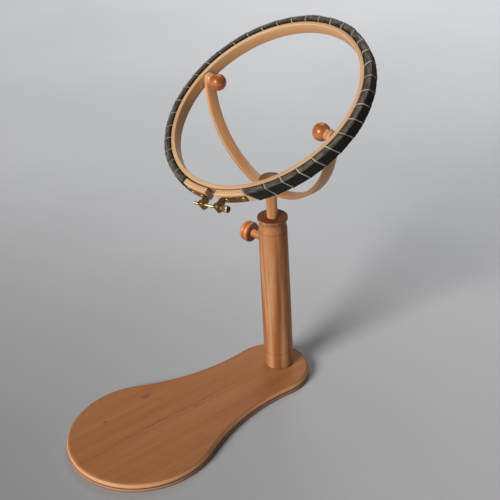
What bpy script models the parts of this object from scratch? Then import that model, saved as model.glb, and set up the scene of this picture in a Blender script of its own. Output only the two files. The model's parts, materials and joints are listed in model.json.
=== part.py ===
"""Embroidery hoop on a turned wooden stand.

A pear-shaped plywood base carries a bored column. A dowel mast slides in the column and is clamped by a
wooden thumb screw. A bent-wood yoke sits on the mast, and the hoop tilts between the yoke's ends on two bolts
with ball knobs. Units are metres, +Z is up, the base's paddle reaches towards -Y and the hoop tilts about X.
The origin is on the column's axis at the underside of the base.
"""

import math

import bmesh
import bpy

MM = 0.001
GAP = 0.3 * MM                      # kept between pieces that touch
PAST = 5.0 * MM                     # how far a cutter runs past the face that it cuts

# Hoop, in its own frame: centred, lying flat, clasp towards -Y
HOOP_HEIGHT = 367.0 * MM            # height of the tilt axis
HOOP_TILT = math.radians(31.0)      # front edge down
RING_H = 15.0 * MM
INNER_R0 = 114.0 * MM
INNER_R1 = 119.2 * MM
BINDING_T = 0.8 * MM
OUTER_R0 = INNER_R1 + BINDING_T + 2.0 * GAP
OUTER_R1 = 127.4 * MM
RING_STEPS = 96

# Clasp on the outer ring, in a frame turned about the hoop's axis: +X runs along the clasp screw to its head.
# The two brackets don't sit evenly about the split, so their angles and places are (left, right) pairs.
CLASP_TURN = math.radians(15.7)
SPLIT_HALF = math.radians(2.9)
BARE_HALF = math.radians(20.4)
RING_CORNER = 0.7 * MM
BINDING_CORNER = 1.2 * MM
PLATE_R0 = OUTER_R1 + GAP
PLATE_T = 1.0 * MM
PLATE_H = 9.4 * MM
PLATE_STARTS = (math.radians(2.7), math.radians(6.5))
PLATE_ENDS = (math.radians(15.2), math.radians(20.4))
PIN_ANGLES = ((math.radians(6.6), math.radians(13.2)), (math.radians(9.2), math.radians(18.6)))
PIN_R = 1.1 * MM
PIN_L = 5.5 * MM
LUG_XS = (-7.0 * MM, 15.3 * MM)
LUG_T = 2.0 * MM
EYE_R1 = 4.0 * MM
EYE_R0 = 3.2 * MM
EYE_Y = -137.7 * MM
BARREL_R = EYE_R0 - GAP
BARREL_H = 10.4 * MM
CLASP_SCREW_R = 1.7 * MM
CLASP_SCREW_TIP = -20.0 * MM
CLASP_NECK_R = 2.9 * MM
CLASP_HEAD_R = 3.8 * MM
CLASP_HEAD_END = 29.8 * MM
CLASP_HEAD_L = 6.6 * MM

# Yoke: a bent bow, half an ellipse with straight ends, whose centre is just below the tilt axis
YOKE_R1 = 112.0 * MM                # half width outside
YOKE_DROP = 101.2 * MM              # from the ellipse's centre to the foot
YOKE_T = 4.8 * MM
YOKE_W = 14.0 * MM
YOKE_RISE = -6.0 * MM               # ellipse's centre above the tilt axis
YOKE_TOP = 7.0 * MM                 # end of each limb above the tilt axis
YOKE_END_R = 6.6 * MM
YOKE_FOOT = HOOP_HEIGHT + YOKE_RISE - YOKE_DROP
YOKE_SEAT = YOKE_FOOT + YOKE_T

# Tilt pivots, along X
PIVOT_R = 2.5 * MM
PIVOT_HEAD_R = 4.5 * MM
PIVOT_HEAD_T = 2.4 * MM
PIVOT_WASHER_R = 8.0 * MM
BALL_R = 10.0 * MM
BALL_X = 93.0 * MM
BALL_FACE = YOKE_R1 - YOKE_T - 0.4 * MM
INSERT_R = 4.0 * MM
INSERT_L = 12.0 * MM

# Mast and the knob that holds the yoke on it
MAST_R = 6.6 * MM
MAST_L = 195.0 * MM
MAST_TOP = YOKE_FOOT - GAP
STUD_R = 3.0 * MM
STUD_DEPTH = 24.0 * MM
CAP_WASHER_R = 7.5 * MM
CAP_WASHER_T = 1.2 * MM
CAP_R = 14.0 * MM
CAP_H = 14.2 * MM
CAP_RIM = 8.4 * MM
CAP_INSERT_R = 4.6 * MM
CAP_INSERT_L = 8.5 * MM

# Base
BASE_T = 11.5 * MM
BASE_ROUND = 4.4 * MM
PADDLE_R = 90.6 * MM
PADDLE_Y = -207.2 * MM
HEEL_R = 50.3 * MM
HEEL_Y = -16.0 * MM
WAIST_R = 247.6 * MM
BASE_SCREW_X = 9.0 * MM
BASE_SCREW_R = 2.0 * MM
BASE_SCREW_HEAD_R = 4.0 * MM
BASE_SCREW_L = 33.0 * MM

# Column
COLUMN_Z0 = BASE_T + GAP
COLUMN_TOP = 226.0 * MM
COLUMN_R_FOOT = 18.2 * MM
COLUMN_R_HEAD = 17.3 * MM
COLLAR_R = 18.3 * MM
COVE_R = 16.2 * MM
SHOULDER_Z = COLUMN_TOP - 16.5 * MM
SCORE_TOP = COLUMN_TOP - 18.2 * MM
SCORE_FOOT = COLUMN_Z0 + 22.5 * MM
BORE_R = MAST_R + GAP
BORE_Z0 = 36.0 * MM

# Clamp knob on the column's side
CLAMP_Z = 190.9 * MM
CLAMP_TURN = math.radians(190.0)
CLAMP_BACK = 33.2 * MM              # back face of the knob from the column's axis
SPINDLE_R = 5.2 * MM
TENON_R = 4.2 * MM
TENON_L = 9.0 * MM
CLAMP_KNOB_R = 12.9 * MM
CLAMP_KNOB_L = 14.6 * MM

BEECH = ("beech", (0.75, 0.485, 0.262), 0.45, 0.0)
BENTWOOD = ("bentwood", (0.402, 0.188, 0.07), 0.42, 0.0)
TURNED = ("turned_wood", (0.43, 0.205, 0.09), 0.4, 0.0)
PLYWOOD = ("plywood", (0.296, 0.133, 0.061), 0.5, 0.0)
KNOBWOOD = ("knob_wood", (0.43, 0.114, 0.032), 0.25, 0.0)
WOVEN = ("woven_tape", (0.045, 0.038, 0.032), 0.9, 0.0)
BRASS = ("brass", (0.62, 0.43, 0.16), 0.3, 1.0)
STEEL = ("steel", (0.55, 0.55, 0.56), 0.3, 1.0)
FELT = ("felt", (0.18, 0.12, 0.08), 0.95, 0.0)


def clear_scene():
    for old in list(bpy.data.objects):
        bpy.data.objects.remove(old, do_unlink=True)


def collection(name):
    made = bpy.data.collections.new(name)
    bpy.context.scene.collection.children.link(made)
    return made


def material(name, colour, roughness, metallic):
    made = bpy.data.materials.get(name)
    if made is None:
        made = bpy.data.materials.new(name)
        made.use_nodes = True
        shader = made.node_tree.nodes["Principled BSDF"]
        shader.inputs["Base Color"].default_value = (*colour, 1.0)
        shader.inputs["Roughness"].default_value = roughness
        shader.inputs["Metallic"].default_value = metallic
        made.diffuse_color = (*colour, 1.0)
    return made


def add_object(name, mesh, look=None, parent=None, location=(0, 0, 0), rotation=(0, 0, 0)):
    made = bpy.data.objects.new(name, mesh)
    made.location = location
    made.rotation_euler = rotation
    made.parent = parent
    if look is None:
        CUTTERS.objects.link(made)
        made.hide_render = True
        made.display_type = "WIRE"
    else:
        PARTS.objects.link(made)
        mesh.materials.append(material(*look))
        mesh.shade_smooth()
        mesh.set_sharp_from_angle(angle=math.radians(35))
    return made


def empty(name, parent=None, location=(0, 0, 0), rotation=(0, 0, 0)):
    made = bpy.data.objects.new(name, None)
    made.empty_display_size = 0.02
    made.location = location
    made.rotation_euler = rotation
    made.parent = parent
    PARTS.objects.link(made)
    return made


def turned(name, profile, look=None, steps=40, closed=False, **place):
    """A profile of (radius, height) points, turned about the object's own Z."""
    mesh = bpy.data.meshes.new(name)
    points = [(radius, 0.0, height) for radius, height in profile]
    edges = [(i, i + 1) for i in range(len(points) - 1)]
    if closed:
        edges.append((len(points) - 1, 0))
    mesh.from_pydata(points, edges, [])
    made = add_object(name, mesh, look, **place)
    screw = made.modifiers.new("turn", "SCREW")
    screw.axis = "Z"
    screw.angle = math.tau
    screw.steps = steps
    screw.render_steps = steps
    screw.use_merge_vertices = True
    screw.merge_threshold = 0.00001
    return made


def cylinder(name, radius, z0, z1, look=None, steps=32, **place):
    """A plain rod about the object's own Z, from z0 to z1."""
    mesh = bpy.data.meshes.new(name)
    shape = bmesh.new()
    bmesh.ops.create_cone(shape, cap_ends=True, segments=steps, radius1=radius, radius2=radius, depth=z1 - z0)
    bmesh.ops.translate(shape, verts=shape.verts, vec=(0, 0, (z0 + z1) / 2))
    shape.to_mesh(mesh)
    shape.free()
    return add_object(name, mesh, look, **place)


def block(name, size, centre, look=None, **place):
    mesh = bpy.data.meshes.new(name)
    shape = bmesh.new()
    bmesh.ops.create_cube(shape, size=1.0)
    bmesh.ops.scale(shape, verts=shape.verts, vec=size)
    bmesh.ops.translate(shape, verts=shape.verts, vec=centre)
    shape.to_mesh(mesh)
    shape.free()
    return add_object(name, mesh, look, **place)


def outline_mesh(name, points, half_thickness):
    """The mesh of a flat outline, given thickness both ways along Z."""
    curve = bpy.data.curves.new(name, "CURVE")
    curve.dimensions = "2D"
    curve.fill_mode = "BOTH"
    curve.extrude = half_thickness
    spline = curve.splines.new("POLY")
    spline.points.add(len(points) - 1)
    for point, (x, y) in zip(spline.points, points):
        point.co = (x, y, 0.0, 1.0)
    spline.use_cyclic_u = True
    guide = bpy.data.objects.new(name + "_outline", curve)
    bpy.context.scene.collection.objects.link(guide)
    bpy.context.view_layer.update()
    evaluated = guide.evaluated_get(bpy.context.evaluated_depsgraph_get())
    mesh = bpy.data.meshes.new_from_object(evaluated)
    mesh.name = name
    bpy.data.objects.remove(guide, do_unlink=True)
    shape = bmesh.new()
    shape.from_mesh(mesh)
    bmesh.ops.remove_doubles(shape, verts=shape.verts, dist=0.00001)
    bmesh.ops.recalc_face_normals(shape, faces=shape.faces)
    shape.to_mesh(mesh)
    shape.free()
    mesh.materials.clear()
    return mesh


def boolean(target, tool, operation="DIFFERENCE"):
    step = target.modifiers.new(tool.name, "BOOLEAN")
    step.operation = operation
    step.solver = "EXACT"
    step.object = tool


def arc(cx, cy, radius, start, end, count):
    """Points on a circle from the start angle to the end angle, both in radians."""
    angles = [start + (end - start) * i / (count - 1) for i in range(count)]
    return [(cx + radius * math.cos(a), cy + radius * math.sin(a)) for a in angles]


def rounded_section(r0, r1, height, corner, count=3):
    """A ring's rounded rectangular section, down its outer side first."""
    top = height / 2 - corner
    quarter = math.pi / 2
    points = arc(r1 - corner, top, corner, quarter, 0.0, count)
    points += arc(r1 - corner, -top, corner, 0.0, -quarter, count)
    points += arc(r0 + corner, -top, corner, -quarter, -math.pi, count)
    points += arc(r0 + corner, top, corner, math.pi, quarter, count)
    return points


def sector(name, half_angle, parent):
    """A wedge cutter for the outer ring, about Z, that opens towards -Y."""
    reach = 1.5 * OUTER_R1
    points = [(0.0, 0.0)]
    points += arc(0.0, 0.0, reach, -math.pi / 2 - half_angle, -math.pi / 2 + half_angle, 9)
    return add_object(name, outline_mesh(name, points, RING_H), parent=parent)


# Base and column


def base_outline():
    """Heel and paddle circles joined by the waist's hollow arcs, counter-clockwise from the heel's right."""
    span = HEEL_Y - PADDLE_Y
    to_paddle = PADDLE_R + WAIST_R
    to_heel = HEEL_R + WAIST_R
    along = (to_paddle**2 - to_heel**2 + span**2) / (2 * span)
    waist_y = PADDLE_Y + along
    waist_x = math.sqrt(to_paddle**2 - along**2)
    heel_angle = math.atan2(waist_y - HEEL_Y, waist_x)
    paddle_angle = math.atan2(waist_y - PADDLE_Y, waist_x)
    points = arc(0.0, HEEL_Y, HEEL_R, heel_angle, math.pi - heel_angle, 25)
    points += arc(-waist_x, waist_y, WAIST_R, -heel_angle, -paddle_angle, 14)[1:-1]
    points += arc(0.0, PADDLE_Y, PADDLE_R, math.pi - paddle_angle, math.tau + paddle_angle, 53)
    points += arc(waist_x, waist_y, WAIST_R, math.pi + paddle_angle, math.pi + heel_angle, 14)[1:-1]
    return points


def bevel_rim(mesh, height, width, segments):
    """Rounds the outline's edge at one height."""
    shape = bmesh.new()
    shape.from_mesh(mesh)
    rim = []
    for edge in shape.edges:
        at_height = all(abs(v.co.z - height) < 0.00005 for v in edge.verts)
        if at_height and edge.calc_face_angle(0.0) > 1.0:
            rim.append(edge)
    bmesh.ops.bevel(shape, geom=rim, offset=width, segments=segments, profile=0.5, affect="EDGES")
    shape.to_mesh(mesh)
    shape.free()


def screw_profile(clearance, bottom):
    """A countersunk wood screw, point up, or with a clearance its pilot hole."""
    head = BASE_SCREW_HEAD_R + clearance
    shank = BASE_SCREW_R + clearance
    cone_foot = 0.8 * MM
    cone_top = cone_foot + BASE_SCREW_HEAD_R - BASE_SCREW_R
    tip = BASE_SCREW_L + clearance
    point = [(0.0, tip), (shank, tip - 3.0 * MM)]
    return point + [(shank, cone_top), (head, cone_foot), (head, bottom), (0.0, bottom)]


def make_base():
    mesh = outline_mesh("base_plate", base_outline(), BASE_T / 2)
    bevel_rim(mesh, BASE_T / 2, BASE_ROUND, 4)
    bevel_rim(mesh, -BASE_T / 2, 0.8 * MM, 1)
    base = add_object("base_plate", mesh, PLYWOOD, location=(0, 0, BASE_T / 2))
    for number, side in ((1, -1), (2, 1)):
        place = {"location": (side * BASE_SCREW_X, 0, 0), "steps": 20}
        turned(f"base_screw_{number}", screw_profile(0.0, 0.4 * MM), STEEL, **place)
        hole = turned(f"cut_base_screw_{number}", screw_profile(GAP, -1.0 * MM), **place)
        boolean(base, hole)
        SCREW_HOLES.append(hole)


def groove(radius, height, depth=0.5 * MM, half=0.7 * MM):
    return [(radius, height + half), (radius - depth, height), (radius, height - half)]


def column_profile():
    """Bored from the top, with a flared collar and two scored lines."""
    lip = 1.0 * MM
    collar_foot = COLUMN_TOP - 3.2 * MM
    cove_z = COLUMN_TOP - 9.0 * MM
    foot_lip = 0.8 * MM
    points = [(0.0, BORE_Z0), (BORE_R, BORE_Z0), (BORE_R, COLUMN_TOP - lip), (BORE_R + lip, COLUMN_TOP)]
    points += arc(COLLAR_R - lip, COLUMN_TOP - lip, lip, math.pi / 2, 0.0, 4)
    points.append((COLLAR_R, collar_foot))
    for i in range(1, 6):
        t = i / 6
        radius = COLLAR_R + (COVE_R - COLLAR_R) * math.sin(t * math.pi / 2)
        points.append((radius, collar_foot + (cove_z - collar_foot) * t))
    for i in range(7):
        t = i / 6
        ease = (1.0 - math.cos(t * math.pi)) / 2
        points.append((COVE_R + (COLUMN_R_HEAD - COVE_R) * ease, cove_z + (SHOULDER_Z - cove_z) * t))
    points += groove(COLUMN_R_HEAD, SCORE_TOP)
    points += groove(COLUMN_R_FOOT - 0.1 * MM, SCORE_FOOT)
    points += [(COLUMN_R_FOOT, COLUMN_Z0 + foot_lip), (COLUMN_R_FOOT - foot_lip, COLUMN_Z0), (0.0, COLUMN_Z0)]
    return points


def make_column():
    column = turned("column", column_profile(), TURNED, 40)
    for hole in SCREW_HOLES:
        boolean(column, hole)
    start = MAST_R / 5              # inside the mast's bore
    hole = cylinder("cut_clamp_hole", SPINDLE_R + GAP, start, COLLAR_R + 10.0 * MM,
                    location=(0, 0, CLAMP_Z), rotation=(0, math.pi / 2, CLAMP_TURN))
    boolean(column, hole)


def make_clamp():
    """A turned knob glued on a threaded spindle that presses on the mast. Local +Z points off the column."""
    radius = CLAMP_KNOB_R
    length = CLAMP_KNOB_L
    middle = length * 0.52
    edge = 0.4 * MM
    axis = empty("clamp_axis", location=(0, 0, CLAMP_Z), rotation=(0, math.pi / 2, CLAMP_TURN))
    back = {"parent": axis, "location": (0, 0, CLAMP_BACK)}
    tip = MAST_R + 2 * GAP - CLAMP_BACK
    spindle = [(0.0, TENON_L), (TENON_R - edge, TENON_L), (TENON_R, TENON_L - edge), (TENON_R, -GAP),
               (SPINDLE_R, -GAP), (SPINDLE_R, tip + 1.0 * MM), (SPINDLE_R - 1.0 * MM, tip), (0.0, tip)]
    turned("clamp_spindle", spindle, KNOBWOOD, 32, **back)
    dome = arc(0.0, 0.0, 1.0, math.pi / 2, 0.12, 9)
    profile = [(x * radius * 0.98, middle + y * (length - middle)) for x, y in dome]
    profile[0] = (0.0, length)
    profile += [(radius * 0.98, length * 0.50), (radius * 0.90, length * 0.42),
                (radius * 0.90, length * 0.38), (radius * 0.99, length * 0.33), (radius, length * 0.26),
                (radius * 0.97, length * 0.16), (radius * 0.88, length * 0.05), (radius * 0.80, 0.0)]
    profile += [(TENON_R + GAP, 0.0), (TENON_R + GAP, TENON_L + GAP), (0.0, TENON_L + GAP)]
    turned("clamp_knob", profile, KNOBWOOD, 36, **back)


# Mast, yoke and cap knob


def make_mast():
    edge = 0.8 * MM
    bottom = MAST_TOP - MAST_L
    profile = [(0.0, MAST_TOP), (MAST_R - edge, MAST_TOP), (MAST_R, MAST_TOP - edge), (MAST_R, bottom + edge),
               (MAST_R - edge, bottom), (0.0, bottom)]
    mast = turned("mast_dowel", profile, BENTWOOD, 36)
    stud_foot = MAST_TOP - STUD_DEPTH
    stud_top = YOKE_SEAT + CAP_WASHER_T + CAP_INSERT_L
    cylinder("mast_stud", STUD_R, stud_foot + GAP, stud_top, STEEL, 24)
    boolean(mast, cylinder("cut_stud_hole", STUD_R + GAP, stud_foot, MAST_TOP + PAST, steps=24))


def yoke_outline():
    """The bow seen along Y, in (x, z) from the ellipse's centre: outer side left to right, then inner."""
    top = YOKE_TOP - YOKE_RISE
    r0 = YOKE_R1 - YOKE_T
    drop0 = YOKE_DROP - YOKE_T
    outer = [(x * YOKE_R1, z * YOKE_DROP) for x, z in arc(0.0, 0.0, 1.0, math.pi, math.tau, 61)]
    inner = [(x * r0, z * drop0) for x, z in arc(0.0, 0.0, 1.0, math.tau, math.pi, 61)]
    return [(-YOKE_R1, top)] + outer + [(YOKE_R1, top), (r0, top)] + inner + [(-r0, top)]


def make_yoke():
    mesh = outline_mesh("yoke_bow", yoke_outline(), YOKE_W / 2)
    shape = bmesh.new()
    shape.from_mesh(mesh)
    top = YOKE_TOP - YOKE_RISE
    ends = []
    for edge in shape.edges:
        a, b = (v.co for v in edge.verts)
        across = abs(a.z - b.z) < 0.00001 and abs(abs(a.x - b.x) - YOKE_T) < 0.0001
        if across and min(a.y, b.y) > top - 0.0001:
            ends.append(edge)
    bmesh.ops.bevel(shape, geom=ends, offset=YOKE_END_R, segments=6, profile=0.5, affect="EDGES")
    shape.to_mesh(mesh)
    shape.free()
    place = {"location": (0, 0, HOOP_HEIGHT + YOKE_RISE), "rotation": (math.pi / 2, 0, 0)}
    yoke = add_object("yoke_bow", mesh, BENTWOOD, **place)
    edges = yoke.modifiers.new("soft_edges", "BEVEL")
    edges.width = 0.9 * MM
    edges.segments = 1
    edges.limit_method = "ANGLE"
    edges.angle_limit = math.radians(50)
    hole = STUD_R + 1.5 * GAP
    boolean(yoke, cylinder("cut_yoke_seat", hole, YOKE_FOOT - PAST, YOKE_SEAT + PAST, steps=24))
    reach = YOKE_R1 + PAST
    pivots = cylinder("cut_yoke_pivots", PIVOT_R + 1.5 * GAP, -reach, reach, steps=24,
                      location=(0, 0, HOOP_HEIGHT), rotation=(0, math.pi / 2, 0))
    boolean(yoke, pivots)
    washer = rounded_section(hole, CAP_WASHER_R, CAP_WASHER_T, 0.2 * MM, 2)
    turned("yoke_washer", washer, STEEL, 32, True, location=(0, 0, YOKE_SEAT + GAP + CAP_WASHER_T / 2))


def make_cap():
    """The low mushroom knob that screws down on the mast's stud."""
    foot = YOKE_SEAT + CAP_WASHER_T + 2 * GAP
    dome = [(x * CAP_R, CAP_RIM + z * (CAP_H - CAP_RIM)) for x, z in arc(0.0, 0.0, 1.0, math.pi / 2, 0.0, 9)]
    dome[0] = (0.0, CAP_H)
    under = [(CAP_R * 0.97, CAP_RIM - 1.3 * MM), (CAP_R * 0.86, CAP_RIM - 2.9 * MM), (CAP_R * 0.66, 3.3 * MM),
             (CAP_R * 0.58, 2.2 * MM), (CAP_R * 0.58, 0.0)]
    socket_r = CAP_INSERT_R + GAP
    socket_z = CAP_INSERT_L + 2 * GAP
    profile = dome + under + [(socket_r, 0.0), (socket_r, socket_z), (0.0, socket_z)]
    turned("cap_knob", profile, KNOBWOOD, 36, location=(0, 0, foot))
    sleeve = rounded_section(STUD_R + GAP, CAP_INSERT_R, CAP_INSERT_L, 0.2 * MM, 2)
    turned("cap_insert", sleeve, BRASS, 24, True, location=(0, 0, foot + GAP + CAP_INSERT_L / 2))


# Hoop


def make_inner_ring(hoop):
    section = rounded_section(INNER_R0, INNER_R1, RING_H, RING_CORNER, 2)
    ring = turned("inner_ring", section, BEECH, RING_STEPS, True, parent=hoop)
    sideways = {"parent": hoop, "rotation": (0, math.pi / 2, 0)}
    reach = INNER_R1 + PAST
    boolean(ring, cylinder("cut_ring_pivots", PIVOT_R + GAP, -reach, reach, steps=24, **sideways))
    for side in (-1, 1):
        inner_end = INNER_R1 - PIVOT_HEAD_T - 2 * GAP
        ends = sorted((side * inner_end, side * reach))
        name = "cut_head_right" if side > 0 else "cut_head_left"
        boolean(ring, cylinder(name, PIVOT_HEAD_R + GAP, *ends, steps=24, **sideways))


def ball_profile():
    """A ball knob with a small flange. Its flange face is at zero and the ball points up."""
    flange_r = 7.2 * MM
    neck_r = 6.0 * MM
    centre = BALL_FACE - BALL_X
    low = -math.acos(neck_r / BALL_R)
    ball = arc(0.0, centre, BALL_R, math.pi / 2, low, 14)
    ball[0] = (0.0, centre + BALL_R)
    socket_r = INSERT_R + GAP
    socket_z = INSERT_L + 2 * GAP
    flange = [(neck_r, 1.9 * MM), (flange_r, 1.3 * MM), (flange_r, 0.4 * MM), (flange_r - 0.4 * MM, 0.0)]
    return ball + flange + [(socket_r, 0.0), (socket_r, socket_z), (0.0, socket_z)]


def make_pivot(hoop, side):
    """Bolt, friction washer, brass insert and ball knob at one end of the tilt axis. Local +Z points in."""
    name = "right" if side > 0 else "left"

    def place(x):
        return {"parent": hoop, "location": (side * x, 0, 0), "rotation": (0, -side * math.pi / 2, 0)}

    head_x = INNER_R1 - GAP
    bolt_l = head_x - BALL_FACE + INSERT_L - 1.0 * MM
    edge = 0.5 * MM
    rim = 0.6 * MM
    bolt = [(0.0, bolt_l), (PIVOT_R - edge, bolt_l), (PIVOT_R, bolt_l - edge), (PIVOT_R, PIVOT_HEAD_T),
            (PIVOT_R + 0.3 * MM, PIVOT_HEAD_T), (PIVOT_HEAD_R, rim), (PIVOT_HEAD_R, 0.0), (0.0, 0.0)]
    turned(f"pivot_bolt_{name}", bolt, STEEL, 24, **place(head_x))
    washer_t = INNER_R0 - YOKE_R1 - 3 * GAP
    washer = rounded_section(PIVOT_R + GAP, PIVOT_WASHER_R, washer_t, 0.3 * MM, 2)
    turned(f"friction_washer_{name}", washer, FELT, 32, True, **place(YOKE_R1 + GAP + washer_t / 2))
    turned(f"tilt_knob_{name}", ball_profile(), KNOBWOOD, 32, **place(BALL_FACE))
    sleeve = rounded_section(PIVOT_R + GAP, INSERT_R, INSERT_L, 0.2 * MM, 2)
    turned(f"tilt_insert_{name}", sleeve, BRASS, 24, True, **place(BALL_FACE - GAP - INSERT_L / 2))


def make_outer_ring(clasp):
    section = rounded_section(OUTER_R0, OUTER_R1, RING_H, RING_CORNER, 2)
    ring = turned("outer_ring", section, BEECH, RING_STEPS, True, parent=clasp)
    boolean(ring, sector("cut_split", SPLIT_HALF, clasp))
    foot = OUTER_R1 - PIN_L - GAP
    for number, (side, angle) in enumerate(pin_places(), 1):
        hole = cylinder(f"cut_pin_{number}", PIN_R + GAP, foot, OUTER_R1 + PAST, steps=12, parent=clasp,
                        rotation=pin_turn(side, angle))
        PIN_HOLES[number] = hole
        boolean(ring, hole)


def pin_places():
    """The pins' sides and angles, numbered from 1 in this order."""
    return [(side, angle) for side, angles in zip((-1, 1), PIN_ANGLES) for angle in angles]


def pin_turn(side, angle):
    """Local +Z runs outwards from the hoop's axis."""
    return (math.pi / 2, 0, side * angle)


def make_binding(clasp):
    """The wound tape's body: a sleeve round the outer ring that stops at the bare wood by the clasp."""
    proud = GAP + BINDING_T
    outer = rounded_section(OUTER_R0 - proud, OUTER_R1 + proud, RING_H + 2 * proud, BINDING_CORNER, 2)
    sleeve = turned("ring_binding", outer, WOVEN, RING_STEPS, True, parent=clasp)
    core = rounded_section(OUTER_R0 - GAP, OUTER_R1 + GAP, RING_H + 2 * GAP, RING_CORNER, 2)
    boolean(sleeve, turned("cut_binding_core", core, steps=RING_STEPS, closed=True, parent=clasp))
    boolean(sleeve, sector("cut_bare", BARE_HALF, clasp))


def make_bracket(clasp, side):
    """A brass strip pinned to the ring, with a lug that ends in a rolled eye."""
    name = "right" if side > 0 else "left"
    place = 1 if side > 0 else 0
    lug_x = LUG_XS[place]
    start = -math.pi / 2 + side * PLATE_STARTS[place]
    end = -math.pi / 2 + side * PLATE_ENDS[place]
    r1 = PLATE_R0 + PLATE_T
    outline = arc(0, 0, r1, start, end, 9) + arc(0, 0, PLATE_R0, end, start, 9)
    node = f"clasp_bracket_{name}"
    bracket = add_object(node, outline_mesh(node, outline, PLATE_H / 2), BRASS, parent=clasp)
    lug_y0 = -math.sqrt((PLATE_R0 + PLATE_T / 3)**2 - lug_x**2)
    lug_y1 = EYE_Y + (EYE_R0 + EYE_R1) / 2
    lug_size = (LUG_T, lug_y0 - lug_y1, PLATE_H)
    lug = block(f"add_lug_{name}", lug_size, (lug_x, (lug_y0 + lug_y1) / 2, 0), parent=clasp)
    boolean(bracket, lug, "UNION")
    at_eye = {"parent": clasp, "location": (lug_x, EYE_Y, 0)}
    half = PLATE_H / 2
    boolean(bracket, cylinder(f"add_eye_{name}", EYE_R1, -half, half, steps=24, **at_eye), "UNION")
    boolean(bracket, cylinder(f"cut_eye_{name}", EYE_R0, -half - PAST, half + PAST, steps=24, **at_eye))
    reach = EYE_R1 + PAST
    cross = cylinder(f"cut_cross_{name}", CLASP_SCREW_R + GAP, -reach, reach, steps=16,
                     rotation=(0, math.pi / 2, 0), **at_eye)
    boolean(bracket, cross)
    for number, (pin_side, _) in enumerate(pin_places(), 1):
        if pin_side == side:
            boolean(bracket, PIN_HOLES[number])
    barrel = cylinder(f"clasp_barrel_{name}", BARREL_R, -BARREL_H / 2, BARREL_H / 2, BRASS, 24, **at_eye)
    boolean(barrel, cross)


def make_pins(clasp):
    seat = PLATE_R0 + PLATE_T + GAP
    tip = OUTER_R1 - PIN_L
    head_r = 2.2 * MM
    head_t = 1.1 * MM
    profile = [(0.0, seat + head_t)]
    profile += [(head_r * math.sin(a), seat + head_t * math.cos(a)) for a in (0.5, 0.95, 1.3, math.pi / 2)]
    profile += [(PIN_R, seat), (PIN_R, tip + 1.0 * MM), (0.0, tip)]
    for number, (side, angle) in enumerate(pin_places(), 1):
        turned(f"clasp_pin_{number}", profile, BRASS, 16, parent=clasp, rotation=pin_turn(side, angle))


def make_clasp_screw(clasp):
    """Threaded rod with a shouldered, slotted thumb head. Local +Z runs along the clasp's +X."""
    r = CLASP_SCREW_R
    head = CLASP_HEAD_END - CLASP_HEAD_L
    shoulder = LUG_XS[1] + EYE_R1 + GAP
    edge = 0.5 * MM
    top = CLASP_HEAD_END
    profile = [(0.0, top), (CLASP_HEAD_R - edge, top), (CLASP_HEAD_R, top - edge)]
    profile += [(CLASP_HEAD_R, head + edge), (CLASP_HEAD_R - edge, head), (CLASP_NECK_R, head)]
    profile += [(CLASP_NECK_R, shoulder), (r, shoulder), (r, CLASP_SCREW_TIP + edge)]
    profile += [(r - edge, CLASP_SCREW_TIP), (0.0, CLASP_SCREW_TIP)]
    place = {"parent": clasp, "location": (0, EYE_Y, 0), "rotation": (0, math.pi / 2, 0)}
    screw = turned("clasp_screw", profile, BRASS, 32, **place)
    slot = block("cut_head_slot", (1.2 * MM, 3 * CLASP_HEAD_R, 3.0 * MM), (0, 0, top), **place)
    boolean(screw, slot)


def make_hoop():
    hoop = empty("hoop_axis", location=(0, 0, HOOP_HEIGHT), rotation=(HOOP_TILT, 0, 0))
    clasp = empty("clasp_frame", parent=hoop, rotation=(0, 0, CLASP_TURN))
    make_inner_ring(hoop)
    for side in (-1, 1):
        make_pivot(hoop, side)
    make_outer_ring(clasp)
    make_binding(clasp)
    for side in (-1, 1):
        make_bracket(clasp, side)
    make_pins(clasp)
    make_clasp_screw(clasp)


clear_scene()
PARTS = collection("embroidery_hoop_stand")
CUTTERS = collection("cutters")
SCREW_HOLES = []
PIN_HOLES = {}
make_base()
make_column()
make_clamp()
make_mast()
make_yoke()
make_cap()
make_hoop()
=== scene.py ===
"""The looks of the embroidery hoop on its stand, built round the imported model. Metres, +Z up."""

import json
import math
import random

import bmesh
import bpy
from mathutils import Matrix, Vector


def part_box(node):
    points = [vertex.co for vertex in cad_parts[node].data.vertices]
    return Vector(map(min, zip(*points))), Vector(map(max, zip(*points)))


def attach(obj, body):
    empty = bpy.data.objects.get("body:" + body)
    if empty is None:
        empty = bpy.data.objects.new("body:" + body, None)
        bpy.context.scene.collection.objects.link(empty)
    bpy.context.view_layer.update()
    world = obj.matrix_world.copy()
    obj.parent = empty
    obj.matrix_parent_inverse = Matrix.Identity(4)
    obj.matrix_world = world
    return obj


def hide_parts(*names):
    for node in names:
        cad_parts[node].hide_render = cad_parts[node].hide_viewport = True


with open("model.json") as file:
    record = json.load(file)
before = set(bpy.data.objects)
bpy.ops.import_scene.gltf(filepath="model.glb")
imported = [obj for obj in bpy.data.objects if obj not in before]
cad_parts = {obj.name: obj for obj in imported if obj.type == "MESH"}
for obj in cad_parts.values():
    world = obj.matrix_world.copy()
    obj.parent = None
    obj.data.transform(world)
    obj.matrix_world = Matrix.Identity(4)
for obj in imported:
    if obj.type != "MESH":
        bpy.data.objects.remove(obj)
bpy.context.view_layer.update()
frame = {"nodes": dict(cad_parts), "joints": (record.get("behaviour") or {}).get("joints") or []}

MM = 0.001
QUARTER = math.pi / 2
SHARP_FROM = math.radians(38)       # edges bent by more than this stay crisp

# Camera, from the front right of the stand
CAMERA_AZIMUTH = math.radians(54.465)
CAMERA_ELEVATION = math.radians(31.473)
CAMERA_ROLL = math.radians(-3.485)
CAMERA_DISTANCE = 1.3056
CAMERA_LENS = 78.25
CAMERA_SENSOR = 36.0
TARGET_ACROSS = -28.69 * MM
TARGET_Z = 180.75 * MM

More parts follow.
